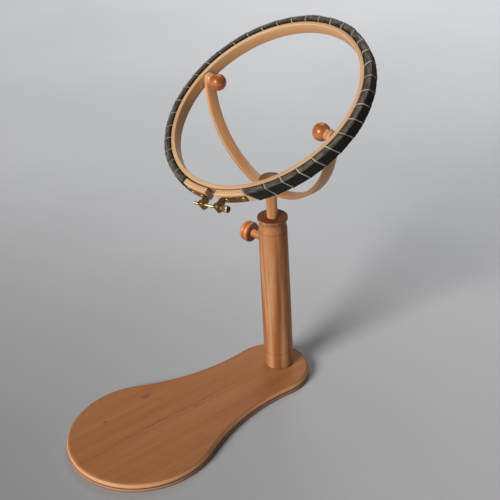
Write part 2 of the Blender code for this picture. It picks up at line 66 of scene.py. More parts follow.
# Light and floor
KEY_TURN = math.radians(45)         # from the camera's heading towards its left
KEY_RISE = math.radians(27)
KEY_SPREAD = math.radians(27)       # how wide the key looks from the object
KEY_STRENGTH = 3.5
LAMP_ASIDE = 0.5
LAMP_BEHIND = 1.9
LAMP_Z = 1.9
LAMP_SIZE = 1.6
LAMP_SPREAD = math.radians(140)
LAMP_POWER = 21.0
AMBIENT = 0.085
FLOOR_HALF = 30.0
FLOOR_Z = -0.05 * MM
# where the painted shade on the floor is deepest
FLOOR_SHADE_AT = (-0.08, -0.75, 0.0)


# Frames of the moving groups, from the joints


def joint(name):
    return next(j for j in frame["joints"] if j["name"] == name)


def basis(x_axis, z_axis, origin):
    """A frame with that Z, and X as near to x_axis as it can be."""
    z = Vector(z_axis).normalized()
    y = z.cross(Vector(x_axis)).normalized()
    x = y.cross(z)
    turn = Matrix((x, y, z)).transposed().to_4x4()
    return Matrix.Translation(Vector(origin)) @ turn


def middle(node):
    low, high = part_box(node)
    return [(a + b) / 2 for a, b in zip(low, high)]


PIVOT = joint("hoop_tilt")["pos_m"]
HOOP = basis((1, 0, 0), joint("outer_ring_lift")["axis"], PIVOT)
CLASP = basis(joint("clasp_screw_spin")["axis"], joint("outer_ring_lift")["axis"], PIVOT)
SCREW_Y = (CLASP.inverted() @ Vector(joint("clasp_screw_spin")["pos_m"])).y
TILT_AXIS = basis((0, 0, -1), (1, 0, 0), PIVOT)
CLAMP = basis((0, 0, -1), joint("clamp_spin")["axis"], joint("clamp_spin")["pos_m"])
STAND = Matrix.Identity(4)

# Hoop sizes, in the hoop's own frame
RING_H = 15.0 * MM
INNER_R0 = 114.0 * MM
INNER_R1 = 119.2 * MM
OUTER_R0 = 120.6 * MM
OUTER_R1 = 127.4 * MM
SPLIT_HALF = math.radians(2.9)
CLASP_TURN = math.radians(15.7)
RING_EDGE = 1.3 * MM

# Wound tape
TAPE_W = 22.0 * MM
TAPE_T = 0.45 * MM
TAPE_TURNS = 35
TAPE_PITCH = math.radians(9.07)
TAPE_FIRST = math.radians(-44.0 - 9.07)
TAPE_R0 = 119.75 * MM
TAPE_R1 = 128.0 * MM
TAPE_HALF_H = 8.15 * MM
TAPE_CORNER = 2.0 * MM
TAPE_COLUMNS = 15
SHARES = (0.0, 0.07, 0.43, 0.65, 1.0)   # of a turn's advance, at the ring's four corners
LAP_AT = 19.6 * MM                  # across the tape, where the next turn begins to cover it
LAP_EASE = (2.0 * MM, 4.4 * MM)     # across the tape, where it comes down off the turn before
FIRST_SLANT = math.radians(-3.7)
SELVEDGE = 1.35 * MM
LOOSE_TURNS = range(12, 19)         # wound less evenly
LOOSE_AT = 0.79                     # where they are along the tape

# Clasp, in a frame whose X runs along its screw
STRAP_T = 0.9 * MM
STRAP_H = 9.4 * MM
STRAP_R = OUTER_R1 + 0.3 * MM + STRAP_T / 2
STRAP_ENDS = (math.radians(15.2), math.radians(20.4))
STRAP_END_ROUND = 1.6 * MM
STRAP_BEND = 1.4 * MM
PIN_ANGLES = ((math.radians(6.6), math.radians(13.2)), (math.radians(9.2), math.radians(18.6)))
PIN_R = 2.4 * MM
PIN_H = 1.2 * MM
LUG_XS = (-7.0 * MM, 15.3 * MM)
EYE_R = 3.6 * MM
BARREL_R = 2.9 * MM
BARREL_H = 10.4 * MM
SCREW_R = 1.7 * MM
SCREW_PITCH = 0.6 * MM
SCREW_TIP = -20.0 * MM
SCREW_COLLAR_R = 2.9 * MM
HEAD_R = 3.8 * MM
HEAD_L = 6.6 * MM
HEAD_END = 29.8 * MM
HEAD_TEETH = 28
SLOT = (1.1 * MM, 12 * MM, 3.0 * MM)

# Yoke: half an ellipse with straight ends
YOKE_R = 112.0 * MM
YOKE_DROP = 101.2 * MM
YOKE_T = 4.8 * MM
YOKE_W = 14.0 * MM
YOKE_EDGE = 1.3 * MM
YOKE_END_ROUND = 6.8 * MM
YOKE_CENTRE_Z = PIVOT[2] - 6.0 * MM
YOKE_TOP = 7.0 * MM
PIVOT_HOLE_R = 2.95 * MM
SEAT_HOLE_R = 3.45 * MM
RING_HOLE_R = 2.8 * MM
BOLT_SEAT_R = 4.8 * MM
BOLT_SEAT_DEPTH = 3.0 * MM
PAST_RIMS = 130.0 * MM              # a reach on the tilt axis beyond both rims

# Base
BASE_T = 11.5 * MM
BASE_ROUND = 4.4 * MM
BASE_CHAMFER = 0.9 * MM
PADDLE_R = 90.6 * MM
PADDLE_Y = -207.2 * MM
HEEL_R = 50.3 * MM
HEEL_Y = -16.0 * MM
WAIST_R = 247.6 * MM
SCREW_NODES = ("base_screw_1", "base_screw_2")
SCREW_HOLE_R = 2.3 * MM
SCREW_HOLE_TOP = 33.5 * MM
SINK_R = 4.3 * MM
SINK_DEPTH = 0.8 * MM
SEAM_X = -3.5 * MM                  # faint dark line in the board's face
SEAM_FADE_Y = (-125 * MM, -85 * MM)
BASE_MARKS = (                      # knot and flecks: x, y, reach, strength
    (-53 * MM, -169 * MM, 6.2 * MM, 0.55),
    (-44 * MM, -233 * MM, 2.5 * MM, 0.7),
    (2 * MM, -131 * MM, 4.0 * MM, 0.25),
    (0 * MM, -108 * MM, 2.0 * MM, 0.35),
)

# Column and knobs
COLUMN_Z0 = 11.8 * MM
COLUMN_TOP = 226.0 * MM
COLUMN_R_FOOT = 18.2 * MM
COLUMN_R_HEAD = 17.3 * MM
COLLAR_R = 18.3 * MM
COVE_R = 16.2 * MM
FOOT_SCORE_Z = COLUMN_Z0 + 22.5 * MM
HEAD_SCORE_Z = COLUMN_TOP - 18.2 * MM
SCORE_DEPTH = 0.25 * MM
BORE_R = 6.9 * MM
BORE_Z0 = 36.0 * MM
CAP_R = 14.0 * MM
CAP_H = 14.2 * MM
CAP_RIM_Z = 8.4 * MM
BALL_R = 10.0 * MM
BALL_DEPTH = 13.8 * MM              # ball's centre from its flange's face
BALL_NECK_R = 6.0 * MM
CLAMP_KNOB_R = 12.9 * MM
CLAMP_KNOB_L = 14.6 * MM
CLAMP_WAIST = 0.42 * CLAMP_KNOB_L
CLAMP_HOLE_R = 5.5 * MM
SPINDLE_R = 5.2 * MM
SPINDLE_TIP = -26.0 * MM
SPINDLE_PITCH = 3.0 * MM

# Ways for the grain to run
GRAIN_UP = "up"
GRAIN_BOARD = "board"
GRAIN_BENT = "bent"


# Mesh helpers


def clamp(value, low=0.0, high=1.0):
    return max(low, min(high, value))


def arc(cx, cy, radius, start, end, count):
    angles = [start + (end - start) * i / (count - 1) for i in range(count)]
    return [(cx + radius * math.cos(a), cy + radius * math.sin(a)) for a in angles]


def soften(points, reach, steps):
    """The line with each corner rounded by a curve that starts reach before it."""
    line = [tuple(points[0])]
    for i in range(1, len(points) - 1):
        corner = Vector(points[i])
        before = Vector(points[i - 1]) - corner
        after = Vector(points[i + 1]) - corner
        size = min(reach, before.length * 0.48, after.length * 0.48)
        start = corner + before.normalized() * size
        end = corner + after.normalized() * size
        for k in range(steps + 1):
            t = k / steps
            line.append(tuple(start * (1 - t)**2 + corner * 2 * t * (1 - t) + end * t * t))
    line.append(tuple(points[-1]))
    return line


def new_object(name, mesh, matrix, material):
    made = bpy.data.objects.new(name, mesh)
    bpy.context.scene.collection.objects.link(made)
    made.matrix_world = matrix
    mesh.materials.append(material)
    return made


def smooth(mesh):
    mesh.shade_smooth()
    mesh.set_sharp_from_angle(angle=SHARP_FROM)


def skin(name, rows, along, across, wrap_rows=False, wrap_columns=True, caps=True):
    """A mesh over a grid of points. along and across are the grain coordinates of its rows and columns."""
    count = len(rows)
    width = len(rows[0])
    shape = bmesh.new()
    grain = shape.loops.layers.uv.new("grain")
    points = [[shape.verts.new(p) for p in row] for row in rows]
    for i in range(count if wrap_rows else count - 1):
        for j in range(width if wrap_columns else width - 1):
            corners = ((i, j), (i, j + 1), (i + 1, j + 1), (i + 1, j))
            face = shape.faces.new([points[a % count][b % width] for a, b in corners])
            for loop, (a, b) in zip(face.loops, corners):
                loop[grain].uv = (along[a], across[b])
    if caps and not wrap_rows:
        for row, place in ((points[0], along[0]), (points[-1], along[-1])):
            face = shape.faces.new(row)
            for loop, value in zip(face.loops, across):
                loop[grain].uv = (place, value)
    bmesh.ops.remove_doubles(shape, verts=shape.verts, dist=0.000001)
    bmesh.ops.recalc_face_normals(shape, faces=shape.faces)
    mesh = bpy.data.meshes.new(name)
    shape.to_mesh(mesh)
    shape.free()
    smooth(mesh)
    return mesh


def turned(name, profile, matrix, material, steps, shape=None):
    """A profile of (radius, height) turned about Z. shape may change the radius at each angle and height."""
    rows = []
    for i in range(steps):
        angle = math.tau * i / steps
        row = []
        for radius, height in profile:
            if shape and radius > 0:
                radius = shape(angle, radius, height)
            row.append((radius * math.cos(angle), radius * math.sin(angle), height))
        rows.append(row)
    along = [i / steps for i in range(steps + 1)]
    across = [j * MM for j in range(len(profile))]
    mesh = skin(name, rows, along, across, wrap_rows=True, wrap_columns=False)
    return new_object(name, mesh, matrix, material)


def round_box(thickness, width, edge):
    """A bar's section as (thickness, width) offsets from its middle."""
    t = thickness / 2 - edge
    w = width / 2 - edge
    points = []
    for ct, cw, start in ((t, w, 0.0), (-t, w, QUARTER), (-t, -w, math.pi), (t, -w, 3 * QUARTER)):
        points += arc(ct, cw, edge, start, start + QUARTER, 5)
    return points


def measured(path, closed=False):
    """The distance along the path at each of its points."""
    line = list(path) + [path[0]] if closed else path
    lengths = [0.0]
    for a, b in zip(line, line[1:]):
        lengths.append(lengths[-1] + math.dist(a, b))
    return lengths


def bar(name, path, thickness, width, edge, matrix, material, end_round=0.0, closed=False):
    """A flat bar along a path in its own XY plane, its width along Z. Open ends are rounded by end_round."""
    lengths = measured(path, closed)
    total = lengths[-1]
    count = len(path)
    rows = []
    for i, point in enumerate(path):
        before = path[i - 1] if closed or i > 0 else path[0]
        after = path[(i + 1) % count] if closed or i < count - 1 else path[-1]
        tangent = (Vector(after) - Vector(before)).normalized()
        gap = total if closed else min(lengths[i], total - lengths[i])
        trim = edge * 0.8 * (1 - math.sqrt(1 - max(0.0, 1 - gap / edge)**2))
        half = width / 2 - trim
        if gap < end_round:
            half -= end_round - math.sqrt(max(end_round**2 - (end_round - gap)**2, 0.0))
        half = max(half, edge)
        row = []
        for t, w in round_box(thickness - 2 * trim, 2 * half, edge * 0.98 - trim):
            row.append((point[0] - tangent.y * t, point[1] + tangent.x * t, w))
        rows.append(row)
    section = round_box(thickness, width, edge)
    across = [t for t, _ in section]
    across.append(across[0])
    mesh = skin(name, rows, lengths, across, wrap_rows=closed)
    return new_object(name, mesh, matrix, material)


def with_ends(path, reach, steps=9):
    """The path with extra points close to both its ends, for bar's rounding."""
    lengths = measured(path)
    total = lengths[-1]
    near = [reach * (1 - math.cos(QUARTER * k / steps)) for k in range(steps + 1)]
    places = [d for d in lengths if reach < d < total - reach]
    places = near + places + [total - d for d in reversed(near)]
    line = []
    i = 0
    for place in places:
        while i < len(lengths) - 2 and lengths[i + 1] < place:
            i += 1
        t = (place - lengths[i]) / (lengths[i + 1] - lengths[i])
        line.append(tuple(Vector(path[i]).lerp(Vector(path[i + 1]), t)))
    return line


def cut(target, cutter):
    """Takes the cutter out of the target's mesh, and removes the cutter."""
    step = target.modifiers.new("cut", "BOOLEAN")
    step.solver = "EXACT"
    step.object = cutter
    bpy.context.view_layer.update()
    evaluated = target.evaluated_get(bpy.context.evaluated_depsgraph_get())
    mesh = bpy.data.meshes.new_from_object(evaluated)
    target.modifiers.clear()
    mesh.name = target.name
    target.data = mesh
    while len(mesh.materials) > 1:
        mesh.materials.pop()
    mesh.polygons.foreach_set("material_index", [0] * len(mesh.polygons))
    smooth(mesh)
    bpy.data.objects.remove(cutter, do_unlink=True)


def rod(radius, z0, z1, matrix, steps=48):
    """A round cutter along its own Z."""
    profile = [(0.0, z1), (radius, z1), (radius, z0), (0.0, z0)]
    return turned("cutter", profile, matrix, MATERIALS["steel"], steps)


def keep(piece, body, node):
    """Puts a piece on its body in place of a node, and hides the node."""
    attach(piece, body)
    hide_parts(node)


# Materials


def srgb(red, green, blue):
    """A display colour out of 255 as a linear one."""
    values = []
    for value in (red, green, blue):
        part = value / 255
        values.append(part / 12.92 if part <= 0.04045 else ((part + 0.055) / 1.055)**2.4)
    return (*values, 1.0)


class Shader:
    """A material's nodes. add() takes a node's settings, and its inputs by name or number."""

    def __init__(self, name):
        self.material = bpy.data.materials.new(name)
        self.material.use_nodes = True
        self.tree = self.material.node_tree
        self.bsdf = self.tree.nodes["Principled BSDF"]

    def add(self, kind, inputs=None, **settings):
        made = self.tree.nodes.new("ShaderNode" + kind)
        for key, value in settings.items():
            setattr(made, key, value)
        for key, value in (inputs or {}).items():
            self.set(made, key, value)
        return made

    def set(self, made, key, value):
        socket = made.inputs[key]
        if isinstance(value, bpy.types.NodeSocket):
            self.tree.links.new(value, socket)
        elif isinstance(value, bpy.types.Node):
            self.tree.links.new(value.outputs[0], socket)
        else:
            socket.default_value = value

    def surface(self, **inputs):
        for key, value in inputs.items():
            self.set(self.bsdf, key.replace("_", " "), value)

    def paint(self, tone):
        self.tone = tone
        self.surface(Base_Color=tone)

    def math(self, operation, a, b=0.0, c=0.0):
        return self.add("Math", {0: a, 1: b, 2: c}, operation=operation).outputs[0]

    def gap(self, a, b):
        """How far apart two values are."""
        return self.math("ABSOLUTE", self.math("SUBTRACT", a, b))

    def wave(self, value, rate):
        """A sine of value times rate, moved to 0..1."""
        return self.math("MULTIPLY_ADD", self.math("SINE", self.math("MULTIPLY", value, rate)), 0.5, 0.5)

    def noise(self, vector, scale, detail=3.0, rough=0.5, warp=0.0):
        inputs = {"Vector": vector, "Scale": scale, "Detail": detail, "Roughness": rough, "Distortion": warp}
        return self.add("TexNoise", inputs).outputs["Fac"]

    def stretch(self, vector, size):
        return self.add("VectorMath", {0: vector, 1: size}, operation="MULTIPLY").outputs[0]

    def move(self, vector, offset):
        return self.add("VectorMath", {0: vector, 1: offset}, operation="ADD").outputs[0]

    def length(self, vector):
        return self.add("VectorMath", {0: vector}, operation="LENGTH").outputs["Value"]

    def ramp(self, factor, *stops):
        """A colour ramp with (place, colour) stops."""
        made = self.add("ValToRGB", {"Fac": factor})
        elements = made.color_ramp.elements
        while len(elements) < len(stops):
            elements.new(0.5)
        for element, (place, colour) in zip(elements, stops):
            element.position = place
            element.color = colour
        return made.outputs["Color"]

    def step(self, value, low, high, out_low=0.0, out_high=1.0):
        """value from low..high to out_low..out_high, clamped and smoothed."""
        inputs = {"Value": value, "From Min": low, "From Max": high, "To Min": out_low, "To Max": out_high}
        return self.add("MapRange", inputs, interpolation_type="SMOOTHSTEP").outputs["Result"]

    def mix(self, factor, a, b, blend="MIX"):
        made = self.add("Mix", data_type="RGBA", blend_type=blend, clamp_factor=True)
        self.set(made, 0, factor)
        self.set(made, 6, a)
        self.set(made, 7, b)
        return made.outputs[2]

    def shade(self, amount, tone, value):
        """tone multiplied by a grey value."""
        return self.mix(amount, tone, self.join(value, value, value), "MULTIPLY")

    def bump(self, height, distance, strength):
        inputs = {"Height": height, "Distance": distance, "Strength": strength}
        return self.add("Bump", inputs).outputs["Normal"]

    def local(self):
        """The piece's own coordinates as (x, y, z) sockets."""
        place = self.add("TexCoord").outputs["Object"]
        return self.add("SeparateXYZ", {0: place}).outputs

    def join(self, x, y, z):
        return self.add("CombineXYZ", {0: x, 1: y, 2: z}).outputs[0]

    def grain(self):
        """The (along, across) sockets of the grain coordinates that skin() gives."""
        bent = self.add("UVMap", uv_map="grain").outputs[0]
        return self.add("SeparateXYZ", {0: bent}).outputs[:2]


def ball_wood():
    """Stained ball knobs, paler at the neck and flange."""
    shader = wood("ball_wood", GRAIN_UP, ((140, 74, 34), (180, 100, 50), (204, 128, 74)), 1.4,
                  rough=0.34, coat=0.45, coat_rough=0.14, seed=4.2)
    height = shader.local()[2]
    neck = shader.step(height, 2.2 * MM, 6.0 * MM, 0.75, 0.0)
    shader.paint(shader.mix(neck, shader.tone, srgb(222, 172, 122)))
    return shader.material


def clamp_wood():
    """The thumb screw's wood, with painted shade in the groove round its knob and under it."""
    shader = wood("clamp_wood", GRAIN_UP, ((156, 86, 46), (194, 120, 72), (214, 148, 98)), 1.2,
                  rough=0.38, coat=0.2, coat_rough=0.18, seed=5.5)
    height = shader.local()[2]
    # painted shade in the groove round the knob
    groove = shader.step(shader.gap(height, CLAMP_WAIST), 0.3 * MM, 1.8 * MM, 0.6, 0.0)
    # painted shade on the back of the knob and the spindle next to it, facing the column
    under = shader.step(shader.math("ABSOLUTE", height), 0.3 * MM, 1.4 * MM, 0.6, 0.0)
    tone = shader.mix(groove, shader.tone, srgb(120, 52, 26))
    shader.paint(shader.mix(under, tone, srgb(90, 40, 20)))
    return shader.material


def grain_place(shader, kind):
    """(along, across, through) in metres for the way a piece's grain runs."""
    x, y, z = shader.local()
    if kind == GRAIN_UP:
        return shader.join(z, x, y)
    if kind == GRAIN_BOARD:
        return shader.join(y, x, z)
    along, across = shader.grain()
    return shader.join(along, across, z)


def wood(name, kind, tones, figure, rough=0.42, coat=0.06, coat_rough=0.25, shine=0.34, seed=0.0):
    """Fine-grained hardwood: soft growth bands, fibre streaks and short dark ray flecks.

    tones are its dark, middle and light colours, and figure is how fast its bands change along the grain.
    """
    shader = Shader(name)
    dark, middling, light_tone = (srgb(*tone) for tone in tones)
    place = shader.move(grain_place(shader, kind), (seed, seed, seed))
    bands = shader.noise(shader.stretch(place, (5.0 * figure, 90.0, 55.0)), 1.0, 4.0, 0.55, 0.4)
    drift = shader.noise(shader.stretch(place, (4.0, 14.0, 14.0)), 1.0, 2.0)
    fibre = shader.noise(shader.stretch(place, (45.0, 1500.0, 1500.0)), 1.0, 3.0, 0.65)
    fleck = shader.noise(shader.stretch(place, (420.0, 2600.0, 1400.0)), 1.0, 1.0)
    tone = shader.ramp(bands, (0.36, dark), (0.5, middling), (0.64, light_tone))
    tone = shader.mix(shader.step(drift, 0.3, 0.7, 0.0, 0.35), tone, middling)
    tone = shader.shade(0.85, tone, shader.step(fibre, 0.35, 0.7, 0.86, 1.08))
    shader.paint(shader.mix(shader.step(fleck, 0.66, 0.74, 0.0, 0.42), tone, dark))
    shader.place = place
    shader.fibre = fibre
    shader.surface(Roughness=shader.math("MULTIPLY_ADD", fibre, 0.16, rough - 0.08))
    shader.surface(Coat_Weight=coat, Coat_Roughness=coat_rough, Specular_IOR_Level=shine)
    shader.surface(Normal=shader.bump(fibre, 0.05 * MM, 0.5))
    return shader


def column_wood():
    """The column, with end grain on its top and painted shade in its scored lines and at its foot."""
    shader = wood("column_wood", GRAIN_UP, ((138, 83, 51), (177, 121, 80), (201, 157, 115)), 0.7,
                  coat=0.0, shine=0.06)
    # the colour of the painted shade in the scored lines and at the foot
    painted_shade = srgb(96, 52, 28)
    x, y, z = shader.local()
    from_heart = shader.length(shader.move(shader.join(x, y, 0.0), (0.02, 0.012, 0.0)))
    rings = shader.wave(from_heart, 3600.0)
    end_grain = shader.ramp(rings, (0.0, srgb(96, 50, 28)), (1.0, srgb(130, 76, 46)))
    on_top = shader.step(z, COLUMN_TOP - 0.9 * MM, COLUMN_TOP - 0.2 * MM)
    tone = shader.mix(on_top, shader.tone, end_grain)
    # painted shade in the two scored lines
    for height in (HEAD_SCORE_Z, FOOT_SCORE_Z):
        line = shader.step(shader.gap(z, height), 0.2 * MM, 1.0 * MM, 0.32, 0.0)
        tone = shader.mix(line, tone, painted_shade)
    # painted shade at the foot, where the column stands on the board
    foot = shader.step(z, COLUMN_Z0, COLUMN_Z0 + 2.0 * MM, 0.5, 0.0)
    shader.paint(shader.mix(foot, tone, painted_shade))
    return shader.material


def base_wood():
    """The plywood board: a face with a seam line, a knot and flecks, and its plies round the edge, with
    painted shade along its bottom edge.
    """
    shader = wood("base_wood", GRAIN_BOARD, ((165, 106, 65), (171, 112, 69), (176, 118, 74)), 0.5,
                  rough=0.5, coat=0.0, shine=0.2)
    x, y, z = shader.local()
    wander = shader.noise(shader.stretch(shader.place, (9.0, 9.0, 9.0)), 1.0, 2.0)
    drawn = shader.math("MULTIPLY_ADD", wander, 12 * MM, -4 * MM)
    faint = shader.noise(shader.stretch(shader.place, (60.0, 300.0, 1.0)), 1.0, 2.0)
    line = shader.step(shader.gap(shader.math("SUBTRACT", x, drawn), SEAM_X), 0.3 * MM, 1.5 * MM, 1.0, 0.0)
    line = shader.math("MULTIPLY", line, shader.step(faint, 0.35, 0.7, 0.25, 0.6))
    line = shader.math("MULTIPLY", line, shader.step(y, *SEAM_FADE_Y, 1.0, 0.0))
    tone = shader.mix(line, shader.tone, srgb(112, 66, 40))
    for mark_x, mark_y, size, strength in BASE_MARKS:
        off_mark = shader.move(shader.join(x, y, 0.0), (-mark_x, -mark_y, 0.0))
        reach = shader.length(shader.stretch(off_mark, (1.0, 0.5, 1.0)))
        spot = shader.step(reach, 0.1 * size, size, strength, 0.0)
        tone = shader.mix(spot, tone, srgb(126, 62, 34))
    # the plies round the edge, with the dark line between them; the darkening at the bottom edge is painted
    # shade
    plies_and_low_shade = shader.ramp(shader.math("DIVIDE", z, BASE_T), (0.0, srgb(120, 72, 46)), (0.1, srgb(150, 98, 66)),
                      (0.16, srgb(180, 132, 102)), (0.4, srgb(178, 128, 98)), (0.44, srgb(92, 48, 30)),
                      (0.51, srgb(92, 48, 30)), (0.56, srgb(206, 156, 114)), (0.86, srgb(210, 160, 118)))
    plies_and_low_shade = shader.shade(0.6, plies_and_low_shade, shader.step(shader.fibre, 0.3, 0.7, 0.85, 1.1))
    on_top = shader.step(z, BASE_T - 2.0 * MM, BASE_T - 0.6 * MM)
    shader.paint(shader.mix(on_top, plies_and_low_shade, tone))
    return shader.material


def ring_wood(name, layers, seed):
    """Pale bent beech, with thin glue lines between its layers."""
    shader = wood(name, GRAIN_BENT, ((190, 144, 102), (217, 176, 134), (230, 195, 157)), 0.6,
                  rough=0.44, shine=0.16, seed=seed)
    _, through = shader.grain()
    tone = shader.tone
    for place in layers:
        line = shader.step(shader.gap(through, place), 0.1 * MM, 0.3 * MM, 0.7, 0.0)
        tone = shader.mix(line, tone, srgb(134, 80, 52))
    shader.paint(tone)
    return shader


def inner_ring_wood():
    """The inner ring, with painted shade making its inside face browner and darkening it where the outer ring
    goes round it.
    """
    shader = ring_wood("inner_ring_wood", (-0.9 * MM, 0.9 * MM), 0.7)
    x, y, _ = shader.local()
    radius = shader.length(shader.join(x, y, 0.0))
    # painted shade on the inside face, as a browner tone
    inside = shader.step(radius, INNER_R0 + 0.1 * MM, INNER_R0 + 1.1 * MM, 0.4, 0.0)
    tone = shader.mix(inside, shader.tone, srgb(206, 142, 84))
    # painted shade where the outer ring goes round this one
    meeting_shade = shader.step(radius, INNER_R1 - 0.7 * MM, INNER_R1 - 0.1 * MM, 0.0, 0.5)
    shader.paint(shader.mix(meeting_shade, tone, srgb(104, 60, 36)))
    return shader.material


def outer_ring_wood():
    """The outer ring, with painted shade on its inside face where it goes round the inner ring, and striped
    layers on its cut ends.
    """
    shader = ring_wood("outer_ring_wood", (-1.1 * MM, 1.2 * MM), 3.0)
    x, y, _ = shader.local()
    radius = shader.length(shader.join(x, y, 0.0))
    # painted shade on the inside face, where it goes round the inner ring
    meeting_shade = shader.step(radius, OUTER_R0 + 0.1 * MM, OUTER_R0 + 0.9 * MM, 0.7, 0.0)
    tone = shader.mix(meeting_shade, shader.tone, srgb(104, 60, 36))
    angle = shader.math("ARCTAN2", x, shader.math("MULTIPLY", y, -1.0))
    from_split = shader.gap(angle, CLASP_TURN)
    cut_face = shader.step(from_split, SPLIT_HALF + 0.0006, SPLIT_HALF + 0.006, 1.0, 0.0)
    _, through = shader.grain()
    stripes = shader.ramp(shader.wave(through, 2750.0), (0.25, srgb(92, 44, 26)), (0.75, srgb(224, 172, 144)))
    shader.paint(shader.mix(cut_face, tone, stripes))
    return shader.material


def tape_cloth():
    """Twill tape, its top lighter from wear and a painted highlight, with painted shade at its inner top edge
    and under each lap, and a pale selvedge along its exposed edge.
    """
    shader = Shader("tape_cloth")
    along, across = shader.grain()
    place = shader.join(along, across, 0.0)
    x, y, z = shader.local()
    radius = shader.length(shader.join(x, y, 0.0))
    warp_turn = shader.math("MULTIPLY", across, math.tau / (0.62 * MM))
    weft_turn = shader.math("MULTIPLY", along, math.tau / (0.5 * MM))
    warp = shader.math("ABSOLUTE", shader.math("SINE", warp_turn))
    weft = shader.math("ABSOLUTE", shader.math("SINE", weft_turn))
    over = shader.step(shader.math("SINE", shader.math("ADD", warp_turn, weft_turn)), -0.25, 0.25)
    height = shader.math("ADD", shader.math("MULTIPLY", warp, over),
                         shader.math("MULTIPLY", weft, shader.math("SUBTRACT", 1.0, over)))
    blotch = shader.noise(place, 260.0, 3.0, 0.6)
    speck = shader.noise(place, 1800.0, 2.0, 0.7)
    tone = shader.ramp(shader.math("MULTIPLY_ADD", speck, 0.6, shader.math("MULTIPLY", blotch, 0.45)),
                       (0.34, srgb(15, 12, 9)), (0.56, srgb(32, 28, 23)), (0.74, srgb(72, 65, 57)))
    # threads painted lighter on their crowns and darker in the hollows between them: painted light and shade
    # of the weave
    tone = shader.shade(0.8, tone, shader.step(height, 0.1, 0.9, 0.6, 1.15))
    # A lighter top face, partly wear and partly a painted highlight that is strongest at the outer top
    # corner. The same tone, in streaks, shows wear on the loose turns.
    wear_and_highlight_tone = srgb(128, 117, 105)
    streak_noise = shader.noise(shader.stretch(place, (700.0, 90.0, 1.0)), 1.0, 3.0, 0.6)
    on_top = shader.step(z, TAPE_HALF_H - 2.4 * MM, TAPE_HALF_H - 0.1 * MM)
    outer_edge = shader.step(radius, TAPE_R0 + 1.5 * MM, TAPE_R1 - 2.2 * MM, 0.35, 1.0)
    top_highlight_and_wear = shader.math("MULTIPLY", on_top, outer_edge)
    top_highlight_and_wear = shader.math("MULTIPLY", top_highlight_and_wear, shader.step(streak_noise, 0.38, 0.62, 0.18, 0.82))
    tone = shader.mix(top_highlight_and_wear, tone, wear_and_highlight_tone)
    loose = shader.step(shader.gap(along, LOOSE_AT), 0.12, 0.26, 0.55, 0.0)
    scuffed = shader.math("MULTIPLY", loose, shader.step(streak_noise, 0.46, 0.62))
    tone = shader.mix(scuffed, tone, wear_and_highlight_tone)
    # painted shade at the tape's inner top edge, in the gap by the inner ring
    inner_edge_shade = shader.step(radius, TAPE_R0 + 0.3 * MM, TAPE_R0 + 2.2 * MM, 0.85, 0.0)
    tone = shader.mix(inner_edge_shade, tone, srgb(12, 10, 9))
    # painted shadow on each turn where the next turn laps over it
    lapped = shader.step(across, LAP_AT - 2.0 * MM, LAP_AT - 0.1 * MM, 0.0, 0.75)
    tone = shader.mix(lapped, tone, srgb(14, 12, 11))
    frayed = shader.math("MULTIPLY_ADD", shader.noise(place, 900.0, 2.0), 0.7 * MM, -0.35 * MM)
    frayed = shader.math("ADD", across, frayed)
    edge = shader.step(frayed, SELVEDGE - 0.25 * MM, SELVEDGE + 0.15 * MM, 1.0, 0.0)
    soiled = shader.step(shader.noise(place, 32.0, 2.0, 0.6), 0.38, 0.62, 0.5, 1.0)
    pale = shader.ramp(speck, (0.3, srgb(150, 142, 132)), (0.7, srgb(208, 200, 189)))
    shader.paint(shader.mix(shader.math("MULTIPLY", edge, soiled), tone, pale))
    shader.surface(Roughness=0.88, Specular_IOR_Level=0.25)
    shader.surface(Sheen_Weight=0.1, Sheen_Roughness=0.4, Sheen_Tint=srgb(200, 200, 205))
    shader.surface(Normal=shader.bump(height, 0.12 * MM, 0.8))
    return shader.material


def metal(name, bright, dull, rough, spots=0.5):
    """Polished metal, dulled in patches and finely scratched."""
    shader = Shader(name)
    place = shader.add("TexCoord").outputs["Object"]
    patch = shader.noise(place, 240.0, 4.0, 0.6)
    fine = shader.noise(shader.stretch(place, (2500.0, 2500.0, 500.0)), 1.0, 2.0)
    tarnish = shader.step(patch, 0.42, 0.68, 0.0, spots)
    shader.paint(shader.mix(tarnish, srgb(*bright), srgb(*dull)))
    shader.surface(Metallic=1.0, Roughness=shader.math("MULTIPLY_ADD", patch, 0.25, rough - 0.1))
    shader.surface(Normal=shader.bump(fine, 0.02 * MM, 0.4))
    return shader


def screw_metal():
    """The clasp screw: polished brass, with painted shade making the end of its head dark red-brown."""
    shader = metal("screw_metal", (214, 196, 150), (132, 104, 66), 0.34)
    along = shader.local()[2]
    # painted shade on the end face of the head
    head = shader.step(along, HEAD_END - 0.7 * MM, HEAD_END - 0.3 * MM)
    shader.paint(shader.mix(head, shader.tone, srgb(112, 68, 44)))
    return shader.material


def felt_cloth():
    """The friction washers' fuzzy felt."""
    shader = Shader("felt_cloth")
    place = shader.add("TexCoord").outputs["Object"]
    fuzz = shader.noise(place, 1400.0, 4.0, 0.7)
    shader.paint(shader.ramp(fuzz, (0.3, srgb(150, 108, 72)), (0.7, srgb(196, 154, 114))))
    shader.surface(Roughness=0.95, Sheen_Weight=0.4)
    shader.surface(Normal=shader.bump(fuzz, 0.2 * MM, 0.8))
    return shader.material


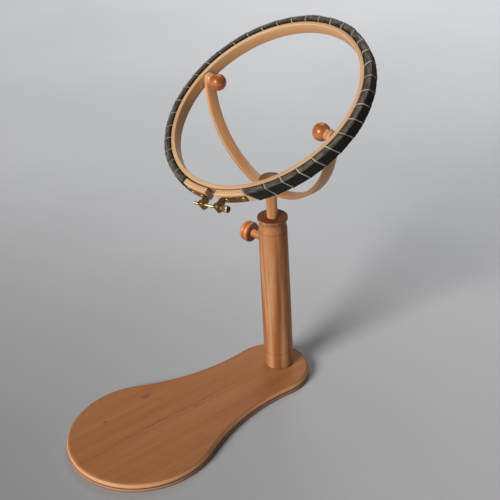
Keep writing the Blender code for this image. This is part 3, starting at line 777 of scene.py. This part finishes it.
def floor_paint():
    """Plain pale paper, with painted shade darkening it towards the front left."""
    shader = Shader("floor_paint")
    x, y, _ = shader.local()
    place = shader.join(x, y, 0.0)
    cloud = shader.noise(place, 3.0, 3.0)
    tone = shader.ramp(cloud, (0.3, srgb(191, 192, 195)), (0.7, srgb(197, 198, 201)))
    away = shader.add("VectorMath", {0: place, 1: FLOOR_SHADE_AT}, operation="DISTANCE").outputs["Value"]
    # painted shade on the floor towards the front left
    shader.paint(shader.mix(shader.step(away, 0.15, 1.05, 0.64, 0.0), tone, srgb(122, 122, 124)))
    shader.surface(Roughness=0.9, Specular_IOR_Level=0.05)
    return shader.material


MATERIALS = {
    "column": column_wood(),
    "base": base_wood(),
    "mast": wood("mast_wood", GRAIN_UP, ((196, 134, 88), (227, 163, 111), (240, 185, 135)), 0.6,
                 seed=1.3).material,
    "yoke": wood("yoke_wood", GRAIN_BENT, ((196, 138, 92), (226, 168, 116), (238, 189, 139)), 0.6,
                 seed=2.1).material,
    "inner_ring": inner_ring_wood(),
    "outer_ring": outer_ring_wood(),
    "ball": ball_wood(),
    "cap": wood("cap_wood", GRAIN_UP, ((118, 66, 36), (152, 92, 54), (172, 112, 70)), 1.3,
                coat=0.15, seed=6.1).material,
    "clamp": clamp_wood(),
    "tape": tape_cloth(),
    "brass": metal("brass_metal", (206, 184, 128), (128, 98, 56), 0.36).material,
    "strap": metal("strap_metal", (172, 134, 84), (98, 68, 40), 0.5, 0.8).material,
    "screw": screw_metal(),
    "steel": metal("steel_metal", (196, 198, 202), (120, 120, 122), 0.35).material,
    "felt": felt_cloth(),
    "floor": floor_paint(),
}


# Stand


def base_outline():
    """Heel and paddle circles joined by the waist's hollow arcs, counter-clockwise from the heel's right."""
    span = HEEL_Y - PADDLE_Y
    to_paddle = PADDLE_R + WAIST_R
    to_heel = HEEL_R + WAIST_R
    along = (to_paddle**2 - to_heel**2 + span**2) / (2 * span)
    waist_y = PADDLE_Y + along
    waist_x = math.sqrt(to_paddle**2 - along**2)
    heel = math.atan2(waist_y - HEEL_Y, waist_x)
    paddle = math.atan2(waist_y - PADDLE_Y, waist_x)
    points = arc(0.0, HEEL_Y, HEEL_R, heel, math.pi - heel, 61)
    points += arc(-waist_x, waist_y, WAIST_R, -heel, -paddle, 40)[1:-1]
    points += arc(0.0, PADDLE_Y, PADDLE_R, math.pi - paddle, math.tau + paddle, 121)
    points += arc(waist_x, waist_y, WAIST_R, math.pi + paddle, math.pi + heel, 40)[1:-1]
    return points


def make_base():
    """The plywood board: a round upper edge, and a fine step where the plies meet."""
    outline = base_outline()
    count = len(outline)
    normals = []
    for i in range(count):
        tangent = Vector(outline[(i + 1) % count]) - Vector(outline[i - 1])
        normals.append(Vector((tangent.y, -tangent.x)).normalized())
    low = BASE_CHAMFER
    side = [(low + 0.6 * MM, 0.0), (low, 0.0), (low * 0.3, low * 0.3), (0.0, low), (0.0, 4.9 * MM),
            (0.12 * MM, 5.1 * MM), (0.42 * MM, 5.3 * MM), (0.42 * MM, 5.8 * MM), (0.12 * MM, 6.0 * MM),
            (0.0, 6.2 * MM)]
    side += arc(BASE_ROUND, BASE_T - BASE_ROUND, BASE_ROUND, math.pi, QUARTER, 9)
    side.append((BASE_ROUND + 0.8 * MM, BASE_T))
    rows = []
    for inset, height in side:
        rows.append([(x - n.x * inset, y - n.y * inset, height) for (x, y), n in zip(outline, normals)])
    mesh = skin("base_board", rows, [z for _, z in side], [i * MM for i in range(count + 1)])
    board = new_object("base_board", mesh, STAND, MATERIALS["base"])
    past = 1.0 * MM
    hole = [(0.0, 20 * MM), (SCREW_HOLE_R, 20 * MM), (SCREW_HOLE_R, SINK_DEPTH + SINK_R - SCREW_HOLE_R),
            (SINK_R, SINK_DEPTH), (SINK_R, -past), (0.0, -past)]
    for node in SCREW_NODES:
        x, y, _ = middle(node)
        cut(board, turned("cutter", hole, Matrix.Translation((x, y, 0)), MATERIALS["steel"], 32))
    keep(board, "stand", "base_plate")


def column_profile():
    """Up the outside from the foot to the collar's rim, then down the bore."""
    foot_edge = 0.9 * MM
    points = [(0.0, COLUMN_Z0)]
    points += arc(COLUMN_R_FOOT - foot_edge, COLUMN_Z0 + foot_edge, foot_edge, -QUARTER, 0.0, 5)
    points += scored(COLUMN_R_FOOT - 0.1 * MM, FOOT_SCORE_Z)
    for i in range(1, 24):
        t = i / 24
        taper = COLUMN_R_FOOT + (COLUMN_R_HEAD - COLUMN_R_FOOT) * t
        belly = 0.25 * MM * math.sin(math.pi * t)
        points.append((taper + belly, FOOT_SCORE_Z + (HEAD_SCORE_Z - FOOT_SCORE_Z) * t))
    points += scored(COLUMN_R_HEAD, HEAD_SCORE_Z)
    shoulder = COLUMN_TOP - 16.5 * MM
    cove = COLUMN_TOP - 8.6 * MM
    collar = COLUMN_TOP - 3.4 * MM
    for i in range(13):
        t = i / 12
        ease = (1 - math.cos(t * math.pi)) / 2
        points.append((COLUMN_R_HEAD + (COVE_R - COLUMN_R_HEAD) * ease, shoulder + (cove - shoulder) * t))
    for i in range(1, 9):
        t = i / 8
        ease = 1 - math.cos(t * QUARTER)
        points.append((COVE_R + (COLLAR_R - COVE_R) * ease, cove + (collar - cove) * t))
    lip = 1.3 * MM
    points += arc(COLLAR_R - lip, COLUMN_TOP - lip, lip, 0.0, QUARTER, 7)
    points += [(COLLAR_R - lip - 0.6 * MM, COLUMN_TOP), (BORE_R + 1.4 * MM, COLUMN_TOP),
               (BORE_R + 0.8 * MM, COLUMN_TOP - 0.15 * MM), (BORE_R, COLUMN_TOP - 1.0 * MM),
               (BORE_R, BORE_Z0), (0.0, BORE_Z0)]
    return points


def scored(radius, height):
    """A fine turned line in the outside, with soft edges."""
    half = 0.55 * MM
    lip = radius - 0.1 * SCORE_DEPTH
    floor = radius - SCORE_DEPTH
    return [(radius, height - 2 * half), (lip, height - half), (floor, height - 0.1 * MM),
            (floor, height + 0.1 * MM), (lip, height + half), (radius, height + 2 * half)]


def make_column():
    column = turned("column_turned", column_profile(), STAND, MATERIALS["column"], 120)
    cut(column, rod(CLAMP_HOLE_R, -44 * MM, -4 * MM, CLAMP))
    for node in SCREW_NODES:
        x, y, _ = middle(node)
        cut(column, rod(SCREW_HOLE_R, 0.0, SCREW_HOLE_TOP, Matrix.Translation((x, y, 0)), 24))
    keep(column, "stand", "column")


def threaded(radius, depth, pitch):
    """A shape for turned(): a right-handed thread of that pitch, cut into the radius."""

    def shape(angle, here, height):
        if abs(here - radius) > 0.05 * MM:
            return here
        turn = (height / pitch - angle / math.tau) % 1.0
        return here - depth * (1 - abs(2 * turn - 1))**1.2

    return shape


def make_clamp():
    """The thumb screw: a lipped mushroom knob on a threaded wooden spindle."""
    r = CLAMP_KNOB_R
    length = CLAMP_KNOB_L
    outline = [(4.6 * MM, 0.0), (r * 0.72, 0.0), (r * 0.93, length * 0.07), (r, length * 0.24),
               (r * 0.95, length * 0.36), (r * 0.84, CLAMP_WAIST), (r * 0.93, length * 0.5),
               (r * 0.97, length * 0.62), (r * 0.86, length * 0.86), (r * 0.52, length * 0.98), (0.0, length)]
    socket = [(0.0, 9.3 * MM), (4.5 * MM, 9.3 * MM), (4.5 * MM, 0.6 * MM)]
    knob = turned("clamp_knob_turned", socket + soften(outline, 2.4 * MM, 5), CLAMP, MATERIALS["clamp"], 96)
    keep(knob, "clamp_knob", "clamp_knob")
    r = SPINDLE_R
    tip = SPINDLE_TIP
    rows = [(0.0, tip), (r - 1.0 * MM, tip), (r - 0.2 * MM, tip + 0.8 * MM)]
    rows += [(r, tip + 1.0 * MM + SPINDLE_PITCH / 8 * i) for i in range(54)]
    rows += [(r - 0.2 * MM, -4.6 * MM), (r - 0.3 * MM, -3.0 * MM), (r + 0.2 * MM, -0.9 * MM),
             (r + 0.2 * MM, -0.3 * MM), (4.2 * MM, -0.3 * MM), (4.2 * MM, 8.6 * MM), (3.8 * MM, 9.0 * MM),
             (0.0, 9.0 * MM)]
    thread = threaded(r, 0.8 * MM, SPINDLE_PITCH)
    spindle = turned("clamp_spindle_threaded", rows, CLAMP, MATERIALS["clamp"], 48, thread)
    keep(spindle, "clamp_spindle", "clamp_spindle")


def make_cap():
    """The low domed knob that screws down on the mast inside the yoke."""
    low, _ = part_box("cap_knob")
    rim = CAP_RIM_Z
    dome = [(x * CAP_R, rim + z * (CAP_H - rim)) for x, z in arc(0.0, 0.0, 1.0, 0.0, QUARTER, 15)]
    dome[-1] = (0.0, CAP_H)
    under = [(4.9 * MM, 0.3 * MM), (5.2 * MM, 0.0), (CAP_R * 0.56, 0.0), (CAP_R * 0.6, 0.4 * MM),
             (CAP_R * 0.6, 2.2 * MM), (CAP_R * 0.7, 3.6 * MM), (CAP_R * 0.88, rim - 2.7 * MM),
             (CAP_R * 0.99, rim - 0.9 * MM)]
    profile = [(0.0, 9.1 * MM), (4.9 * MM, 9.1 * MM)] + soften(under + [dome[0]], 0.8 * MM, 3) + dome[1:]
    cap = turned("cap_knob_turned", profile, Matrix.Translation((0, 0, low[2])), MATERIALS["cap"], 96)
    keep(cap, "cap_knob", "cap_knob")


# Yoke


def make_yoke():
    top = YOKE_TOP - (YOKE_CENTRE_Z - PIVOT[2])
    half = YOKE_T / 2
    bow = [(x * (YOKE_R - half), z * (YOKE_DROP - half)) for x, z in arc(0, 0, 1.0, math.pi, math.tau, 181)]
    straight = [top * (1 - i / 6) for i in range(6)]
    path = [(bow[0][0], z) for z in straight] + bow + [(bow[-1][0], z) for z in reversed(straight)]
    path = with_ends(path, YOKE_END_ROUND)
    place = Matrix.Translation((0, 0, YOKE_CENTRE_Z)) @ Matrix.Rotation(QUARTER, 4, "X")
    yoke = bar("yoke_bent", path, YOKE_T, YOKE_W, YOKE_EDGE, place, MATERIALS["yoke"], YOKE_END_ROUND)
    cut(yoke, rod(PIVOT_HOLE_R, -PAST_RIMS, PAST_RIMS, TILT_AXIS))
    foot = YOKE_CENTRE_Z - YOKE_DROP
    cut(yoke, rod(SEAT_HOLE_R, foot - 5 * MM, foot + 10 * MM, STAND))
    keep(yoke, "yoke", "yoke_bow")


def make_balls():
    """The two ball knobs on the tilt axis. Local +Z points inwards."""
    ball = arc(0.0, BALL_DEPTH, BALL_R, -math.acos(BALL_NECK_R / BALL_R), QUARTER, 28)
    ball[-1] = (0.0, BALL_DEPTH + BALL_R)
    socket = [(0.0, 12.6 * MM), (4.3 * MM, 12.6 * MM)]
    flange = [(4.4 * MM, 0.3 * MM), (4.7 * MM, 0.0), (6.6 * MM, 0.0), (7.2 * MM, 0.4 * MM),
              (7.2 * MM, 1.3 * MM), (6.5 * MM, 1.8 * MM), (5.7 * MM, 3.0 * MM)]
    profile = socket + soften(flange + [ball[0]], 0.5 * MM, 3) + ball[1:]
    for side, name in ((-1, "left"), (1, "right")):
        low_x, high_x = (corner[0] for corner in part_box(f"tilt_knob_{name}"))
        face = high_x if side > 0 else low_x
        place = basis((0, 0, side), (-side, 0, 0), (face, PIVOT[1], PIVOT[2]))
        knob = turned(f"tilt_ball_{name}", profile, place, MATERIALS["ball"], 96)
        keep(knob, f"tilt_knob_{name}", f"tilt_knob_{name}")


# Hoop


def make_inner_ring():
    path = arc(0.0, 0.0, (INNER_R0 + INNER_R1) / 2, math.pi, 3 * math.pi, 289)[:-1]
    ring = bar("inner_ring_bent", path, INNER_R1 - INNER_R0, RING_H, RING_EDGE, HOOP, MATERIALS["inner_ring"],
               closed=True)
    cut(ring, rod(RING_HOLE_R, -PAST_RIMS, PAST_RIMS, TILT_AXIS))
    for side in (-1, 1):
        ends = sorted((side * (INNER_R1 - BOLT_SEAT_DEPTH), side * (INNER_R1 + 5.0 * MM)))
        cut(ring, rod(BOLT_SEAT_R, *ends, TILT_AXIS))
    keep(ring, "inner_hoop", "inner_ring")


def make_outer_ring():
    start = -QUARTER + CLASP_TURN + SPLIT_HALF
    path = arc(0.0, 0.0, (OUTER_R0 + OUTER_R1) / 2, start, start + math.tau - 2 * SPLIT_HALF, 281)
    path = with_ends(path, RING_EDGE, 5)
    ring = bar("outer_ring_bent", path, OUTER_R1 - OUTER_R0, RING_H, RING_EDGE, HOOP, MATERIALS["outer_ring"])
    keep(ring, "outer_hoop", "outer_ring")


def tape_section():
    """The tape's way round the ring, from the top's inner corner over the top and outside, with its advance.

    Each entry is (radius, height, outward radius, outward height, share of the turn's advance so far).
    """
    half = (TAPE_R1 - TAPE_R0) / 2
    middle_r = (TAPE_R0 + TAPE_R1) / 2
    flat_x = half - TAPE_CORNER
    flat_z = TAPE_HALF_H - TAPE_CORNER
    corners = [Vector((x * half, z * TAPE_HALF_H)) for x, z in ((-1, 1), (1, 1), (1, -1), (-1, -1))]
    rows = []
    for side in range(4):
        steps = 12 if side % 2 else 7
        for k in range(steps):
            point = corners[side].lerp(corners[(side + 1) % 4], k / steps)
            inner = Vector((clamp(point.x, -flat_x, flat_x), clamp(point.y, -flat_z, flat_z)))
            out = (point - inner).normalized()
            place = inner + out * TAPE_CORNER
            share = SHARES[side] + (SHARES[side + 1] - SHARES[side]) * k / steps
            rows.append((middle_r + place.x, place.y, out.x, out.y, share))
    return rows


def tape_draws(low, high, loose=1.0):
    """A random value for each turn, multiplied by loose where the winding is loose."""
    turns = range(TAPE_TURNS + 2)
    return [random.uniform(low, high) * (loose if turn in LOOSE_TURNS else 1.0) for turn in turns]


def make_tape():
    """The wound tape: one strip in a helix round the ring, each turn lapped over the one before."""
    random.seed(11)
    section = tape_section()
    a_turn = len(section)
    half_angle = TAPE_W / ((TAPE_R0 + TAPE_R1) / 2)
    shifts = tape_draws(-0.005, 0.005, 2.4)
    slants = tape_draws(-0.006, 0.006, 4.0)
    puffs = tape_draws(0.1, 0.75, 1.4)
    creases = [random.uniform(0.3, 0.8) for _ in range(TAPE_TURNS + 2)]
    rows = []
    for step in range(-a_turn // 4, TAPE_TURNS * a_turn - a_turn // 3):
        turn, k = divmod(step, a_turn)
        r, z, out_r, out_z, share = section[k]
        blend = k / a_turn
        shift = shifts[turn + 1] * (1 - blend) + shifts[turn + 2] * blend
        slant = slants[turn + 1] * math.sin(math.pi * blend)
        phi = TAPE_FIRST + TAPE_PITCH * (turn + share) + shift + slant
        free = clamp((out_r + 1.0) / 0.5) if z < TAPE_HALF_H - TAPE_CORNER else 1.0
        free = min(free, max(0.0, (r - TAPE_R0) / TAPE_CORNER))     # 0 where it is held between the rings
        row = []
        for j in range(TAPE_COLUMNS):
            w = j / (TAPE_COLUMNS - 1)
            lap = 1 - clamp((w * TAPE_W - LAP_EASE[0]) / (LAP_EASE[1] - LAP_EASE[0]))
            lap = lap * lap * (3 - 2 * lap)
            angle = phi + half_angle * w
            if turn < 1:                # the first turn lies on bare wood, with its edge cut on a slant
                lap *= 0.0 if turn < 0 else min(1.0, blend * 2)
                angle += FIRST_SLANT * (1 - w) * (1.0 if turn < 0 else max(0.0, 1 - blend / 0.45))
            bulge = math.sin(math.pi * w)**0.7 * (0.6 + 0.4 * math.sin(3.1 * blend * math.tau + turn * 1.7))
            dent = math.exp(-((w - creases[turn + 1]) / 0.07)**2) * 0.5
            lift = TAPE_T * 1.05 * lap + puffs[turn + 1] * MM * free * (bulge - dent)
            reach = r + out_r * lift
            row.append((reach * math.cos(angle), reach * math.sin(angle), z + out_z * lift))
        rows.append(row)
    along = measured([row[TAPE_COLUMNS // 2] for row in rows])
    across = [TAPE_W * j / (TAPE_COLUMNS - 1) for j in range(TAPE_COLUMNS)]
    mesh = skin("binding_tape", rows, along, across, wrap_columns=False, caps=False)
    tape = new_object("binding_tape", mesh, HOOP, MATERIALS["tape"])
    body = tape.modifiers.new("thickness", "SOLIDIFY")
    body.thickness = TAPE_T
    body.offset = -1.0
    keep(tape, "outer_hoop", "ring_binding")


# Clasp


def bracket_path(side, end_angle, lug_x):
    """Along the ring from the strap's end, out to the eye, round it, and back against itself."""
    layer = STRAP_T * 0.56
    lug_angle = math.asin(abs(lug_x) / STRAP_R)
    path = arc(0.0, 0.0, STRAP_R, -QUARTER + side * end_angle, -QUARTER + side * lug_angle, 30)
    corner_x = lug_x + side * layer
    opening = math.asin(layer / EYE_R)
    start = QUARTER - side * opening
    loop = arc(lug_x, SCREW_Y, EYE_R, start, start - side * (math.tau - 2 * opening), 40)
    corner = (corner_x, -math.sqrt(STRAP_R**2 - corner_x**2))
    inner = (lug_x - side * layer, -math.sqrt(STRAP_R**2 - lug_x**2) - 1.0 * MM)
    neck = soften([path[-3], corner, loop[1], loop[4]], STRAP_BEND, 5)
    back = soften([loop[-5], loop[-2], inner], STRAP_BEND, 5)
    return path[:-3] + neck[:-1] + loop[4:-5] + back


def make_brackets():
    """The two brass straps, and the barrels in their eyes."""
    half = BARREL_H / 2
    edge = 0.6 * MM
    outline = [(0.0, -half), (BARREL_R - edge, -half), (BARREL_R, -half + edge), (BARREL_R, half - edge),
               (BARREL_R - edge, half), (0.0, half)]
    outline = soften(outline, 0.4 * MM, 3)
    for side, name, end_angle, lug_x in zip((-1, 1), ("left", "right"), STRAP_ENDS, LUG_XS):
        path = with_ends(bracket_path(side, end_angle, lug_x), STRAP_END_ROUND, 5)
        strap = bar(f"clasp_strap_{name}", path, STRAP_T, STRAP_H, 0.3 * MM, CLASP, MATERIALS["strap"],
                    STRAP_END_ROUND)
        at_eye = CLASP @ Matrix.Translation((lug_x, SCREW_Y, 0))
        across = at_eye @ Matrix.Rotation(QUARTER, 4, "Y")
        cut(strap, rod(SCREW_R + 0.3 * MM, -9 * MM, 9 * MM, across, 32))
        keep(strap, "outer_hoop", f"clasp_bracket_{name}")
        barrel = turned(f"clasp_barrel_{name}_round", outline, at_eye, MATERIALS["strap"], 48)
        cut(barrel, rod(SCREW_R + 0.2 * MM, -9 * MM, 9 * MM, across, 32))
        keep(barrel, "outer_hoop", f"clasp_barrel_{name}")


def make_pins():
    """Domed brass pins through the straps."""
    seat = STRAP_R + STRAP_T / 2
    dome = [(x * PIN_R, seat + z * PIN_H) for x, z in arc(0, 0, 1.0, 0.0, QUARTER, 8)]
    dome[-1] = (0.0, seat + PIN_H)
    shank = [(0.0, seat - 6.0 * MM), (1.0 * MM, seat - 5.0 * MM), (1.0 * MM, seat), (PIN_R - 0.1 * MM, seat)]
    number = 0
    for side, angles in zip((-1, 1), PIN_ANGLES):
        for angle in angles:
            number += 1
            place = CLASP @ Matrix.Rotation(side * angle, 4, "Z") @ Matrix.Rotation(QUARTER, 4, "X")
            pin = turned(f"clasp_pin_{number}_domed", shank + dome, place, MATERIALS["brass"], 32)
            keep(pin, "outer_hoop", f"clasp_pin_{number}")


def make_clasp_screw():
    """A fine-threaded brass screw with a knurled, slotted head. Local +Z runs towards the head."""
    head = HEAD_END - HEAD_L
    shoulder = LUG_XS[1] + EYE_R + 0.7 * MM
    edge = 0.6 * MM
    a_row = SCREW_PITCH / 7
    thread = threaded(SCREW_R, 0.16 * MM, SCREW_PITCH)

    def shape(angle, here, height):
        if abs(here - HEAD_R) < 0.05 * MM:
            return here - 0.16 * MM * (1 + math.cos(HEAD_TEETH * angle))
        return thread(angle, here, height)

    profile = [(0.0, SCREW_TIP), (SCREW_R - 0.7 * MM, SCREW_TIP), (SCREW_R - 0.3 * MM, SCREW_TIP + 0.5 * MM)]
    count = int((shoulder - SCREW_TIP - 1.0 * MM) / a_row)
    profile += [(SCREW_R, SCREW_TIP + 0.7 * MM + a_row * i) for i in range(count)]
    profile += [(SCREW_R - 0.2 * MM, shoulder), (SCREW_COLLAR_R - 0.3 * MM, shoulder),
                (SCREW_COLLAR_R, shoulder + 0.3 * MM), (SCREW_COLLAR_R, head), (HEAD_R - edge, head),
                (HEAD_R, head + edge), (HEAD_R, head + HEAD_L / 2), (HEAD_R, HEAD_END - edge),
                (HEAD_R - edge, HEAD_END - 0.1 * MM), (0.0, HEAD_END)]
    place = CLASP @ Matrix.Translation((0, SCREW_Y, 0)) @ Matrix.Rotation(QUARTER, 4, "Y")
    screw = turned("clasp_screw_threaded", profile, place, MATERIALS["screw"], 112, shape)
    box = bmesh.new()
    bmesh.ops.create_cube(box, size=1.0)
    bmesh.ops.scale(box, verts=box.verts, vec=SLOT)
    slot = bpy.data.meshes.new("cutter")
    box.to_mesh(slot)
    box.free()
    at_end = place @ Matrix.Translation((0, 0, HEAD_END))
    cut(screw, new_object("cutter", slot, at_end, MATERIALS["steel"]))
    keep(screw, "clasp_screw", "clasp_screw")


def finish_cad_nodes():
    """Gives the nodes that stay as they are their materials."""
    looks = {"mast_dowel": "mast", "mast_stud": "steel", "yoke_washer": "steel", "cap_insert": "brass",
             "base_screw_1": "steel", "base_screw_2": "steel"}
    for side in ("left", "right"):
        looks[f"pivot_bolt_{side}"] = "steel"
        looks[f"friction_washer_{side}"] = "felt"
        looks[f"tilt_insert_{side}"] = "brass"
    for node, look in looks.items():
        piece = frame["nodes"][node]
        for place in piece.material_slots:
            place.material = MATERIALS[look]


# Stage


def make_floor():
    mesh = bpy.data.meshes.new("floor")
    shape = bmesh.new()
    bmesh.ops.create_grid(shape, x_segments=1, y_segments=1, size=FLOOR_HALF)
    shape.to_mesh(mesh)
    shape.free()
    floor = new_object("floor", mesh, Matrix.Translation((0, 0, FLOOR_Z)), MATERIALS["floor"])


def camera_axes():
    """(back, right, up) of the view, level."""
    a, e = CAMERA_AZIMUTH, CAMERA_ELEVATION
    back = Vector((math.sin(a) * math.cos(e), -math.cos(a) * math.cos(e), math.sin(e)))
    right = Vector((math.cos(a), math.sin(a), 0))
    return back, right, back.cross(right)


def make_camera():
    back, right, up = camera_axes()
    side = right * math.cos(CAMERA_ROLL) + up * math.sin(CAMERA_ROLL)
    top = up * math.cos(CAMERA_ROLL) - right * math.sin(CAMERA_ROLL)
    target = right * TARGET_ACROSS + Vector((0, 0, TARGET_Z))
    data = bpy.data.cameras.new("camera")
    data.lens = CAMERA_LENS
    data.sensor_width = CAMERA_SENSOR
    camera = bpy.data.objects.new("camera", data)
    bpy.context.scene.collection.objects.link(camera)
    turn = Matrix((side, top, back)).transposed().to_4x4()
    camera.matrix_world = Matrix.Translation(target + back * CAMERA_DISTANCE) @ turn
    bpy.context.scene.camera = camera


def light(name, kind, place, target, power, colour):
    data = bpy.data.lights.new(name, kind)
    data.energy = power
    data.color = colour
    made = bpy.data.objects.new(name, data)
    bpy.context.scene.collection.objects.link(made)
    made.location = place
    made.rotation_euler = (target - place).to_track_quat("-Z", "Y").to_euler()
    return data


def make_lights():
    """A wide, low, even key from the camera's left, and a lamp over the floor behind."""
    _, right, _ = camera_axes()
    front = Vector((math.sin(CAMERA_AZIMUTH), -math.cos(CAMERA_AZIMUTH), 0))
    level = front * math.cos(KEY_TURN) - right * math.sin(KEY_TURN)
    towards = level * math.cos(KEY_RISE) + Vector((0, 0, math.sin(KEY_RISE)))
    key = light("key", "SUN", towards, Vector(), KEY_STRENGTH, (1.0, 0.985, 0.96))
    key.angle = KEY_SPREAD
    behind = right * LAMP_ASIDE - front * LAMP_BEHIND
    lamp = light("backdrop", "AREA", behind + Vector((0, 0, LAMP_Z)), behind, LAMP_POWER, (0.95, 0.98, 1.0))
    lamp.shape = "DISK"
    lamp.size = LAMP_SIZE
    lamp.spread = LAMP_SPREAD
    world = bpy.data.worlds.new("studio")
    world.use_nodes = True
    background = world.node_tree.nodes["Background"]
    background.inputs["Color"].default_value = (1.0, 0.96, 0.91, 1.0)
    background.inputs["Strength"].default_value = AMBIENT
    bpy.context.scene.world = world
    bpy.context.scene.view_settings.view_transform = "Standard"


make_camera()
make_base()
make_column()
make_clamp()
make_cap()
make_yoke()
make_balls()
make_inner_ring()
make_outer_ring()
make_tape()
make_brackets()
make_pins()
make_clasp_screw()
finish_cad_nodes()
make_floor()
make_lights()
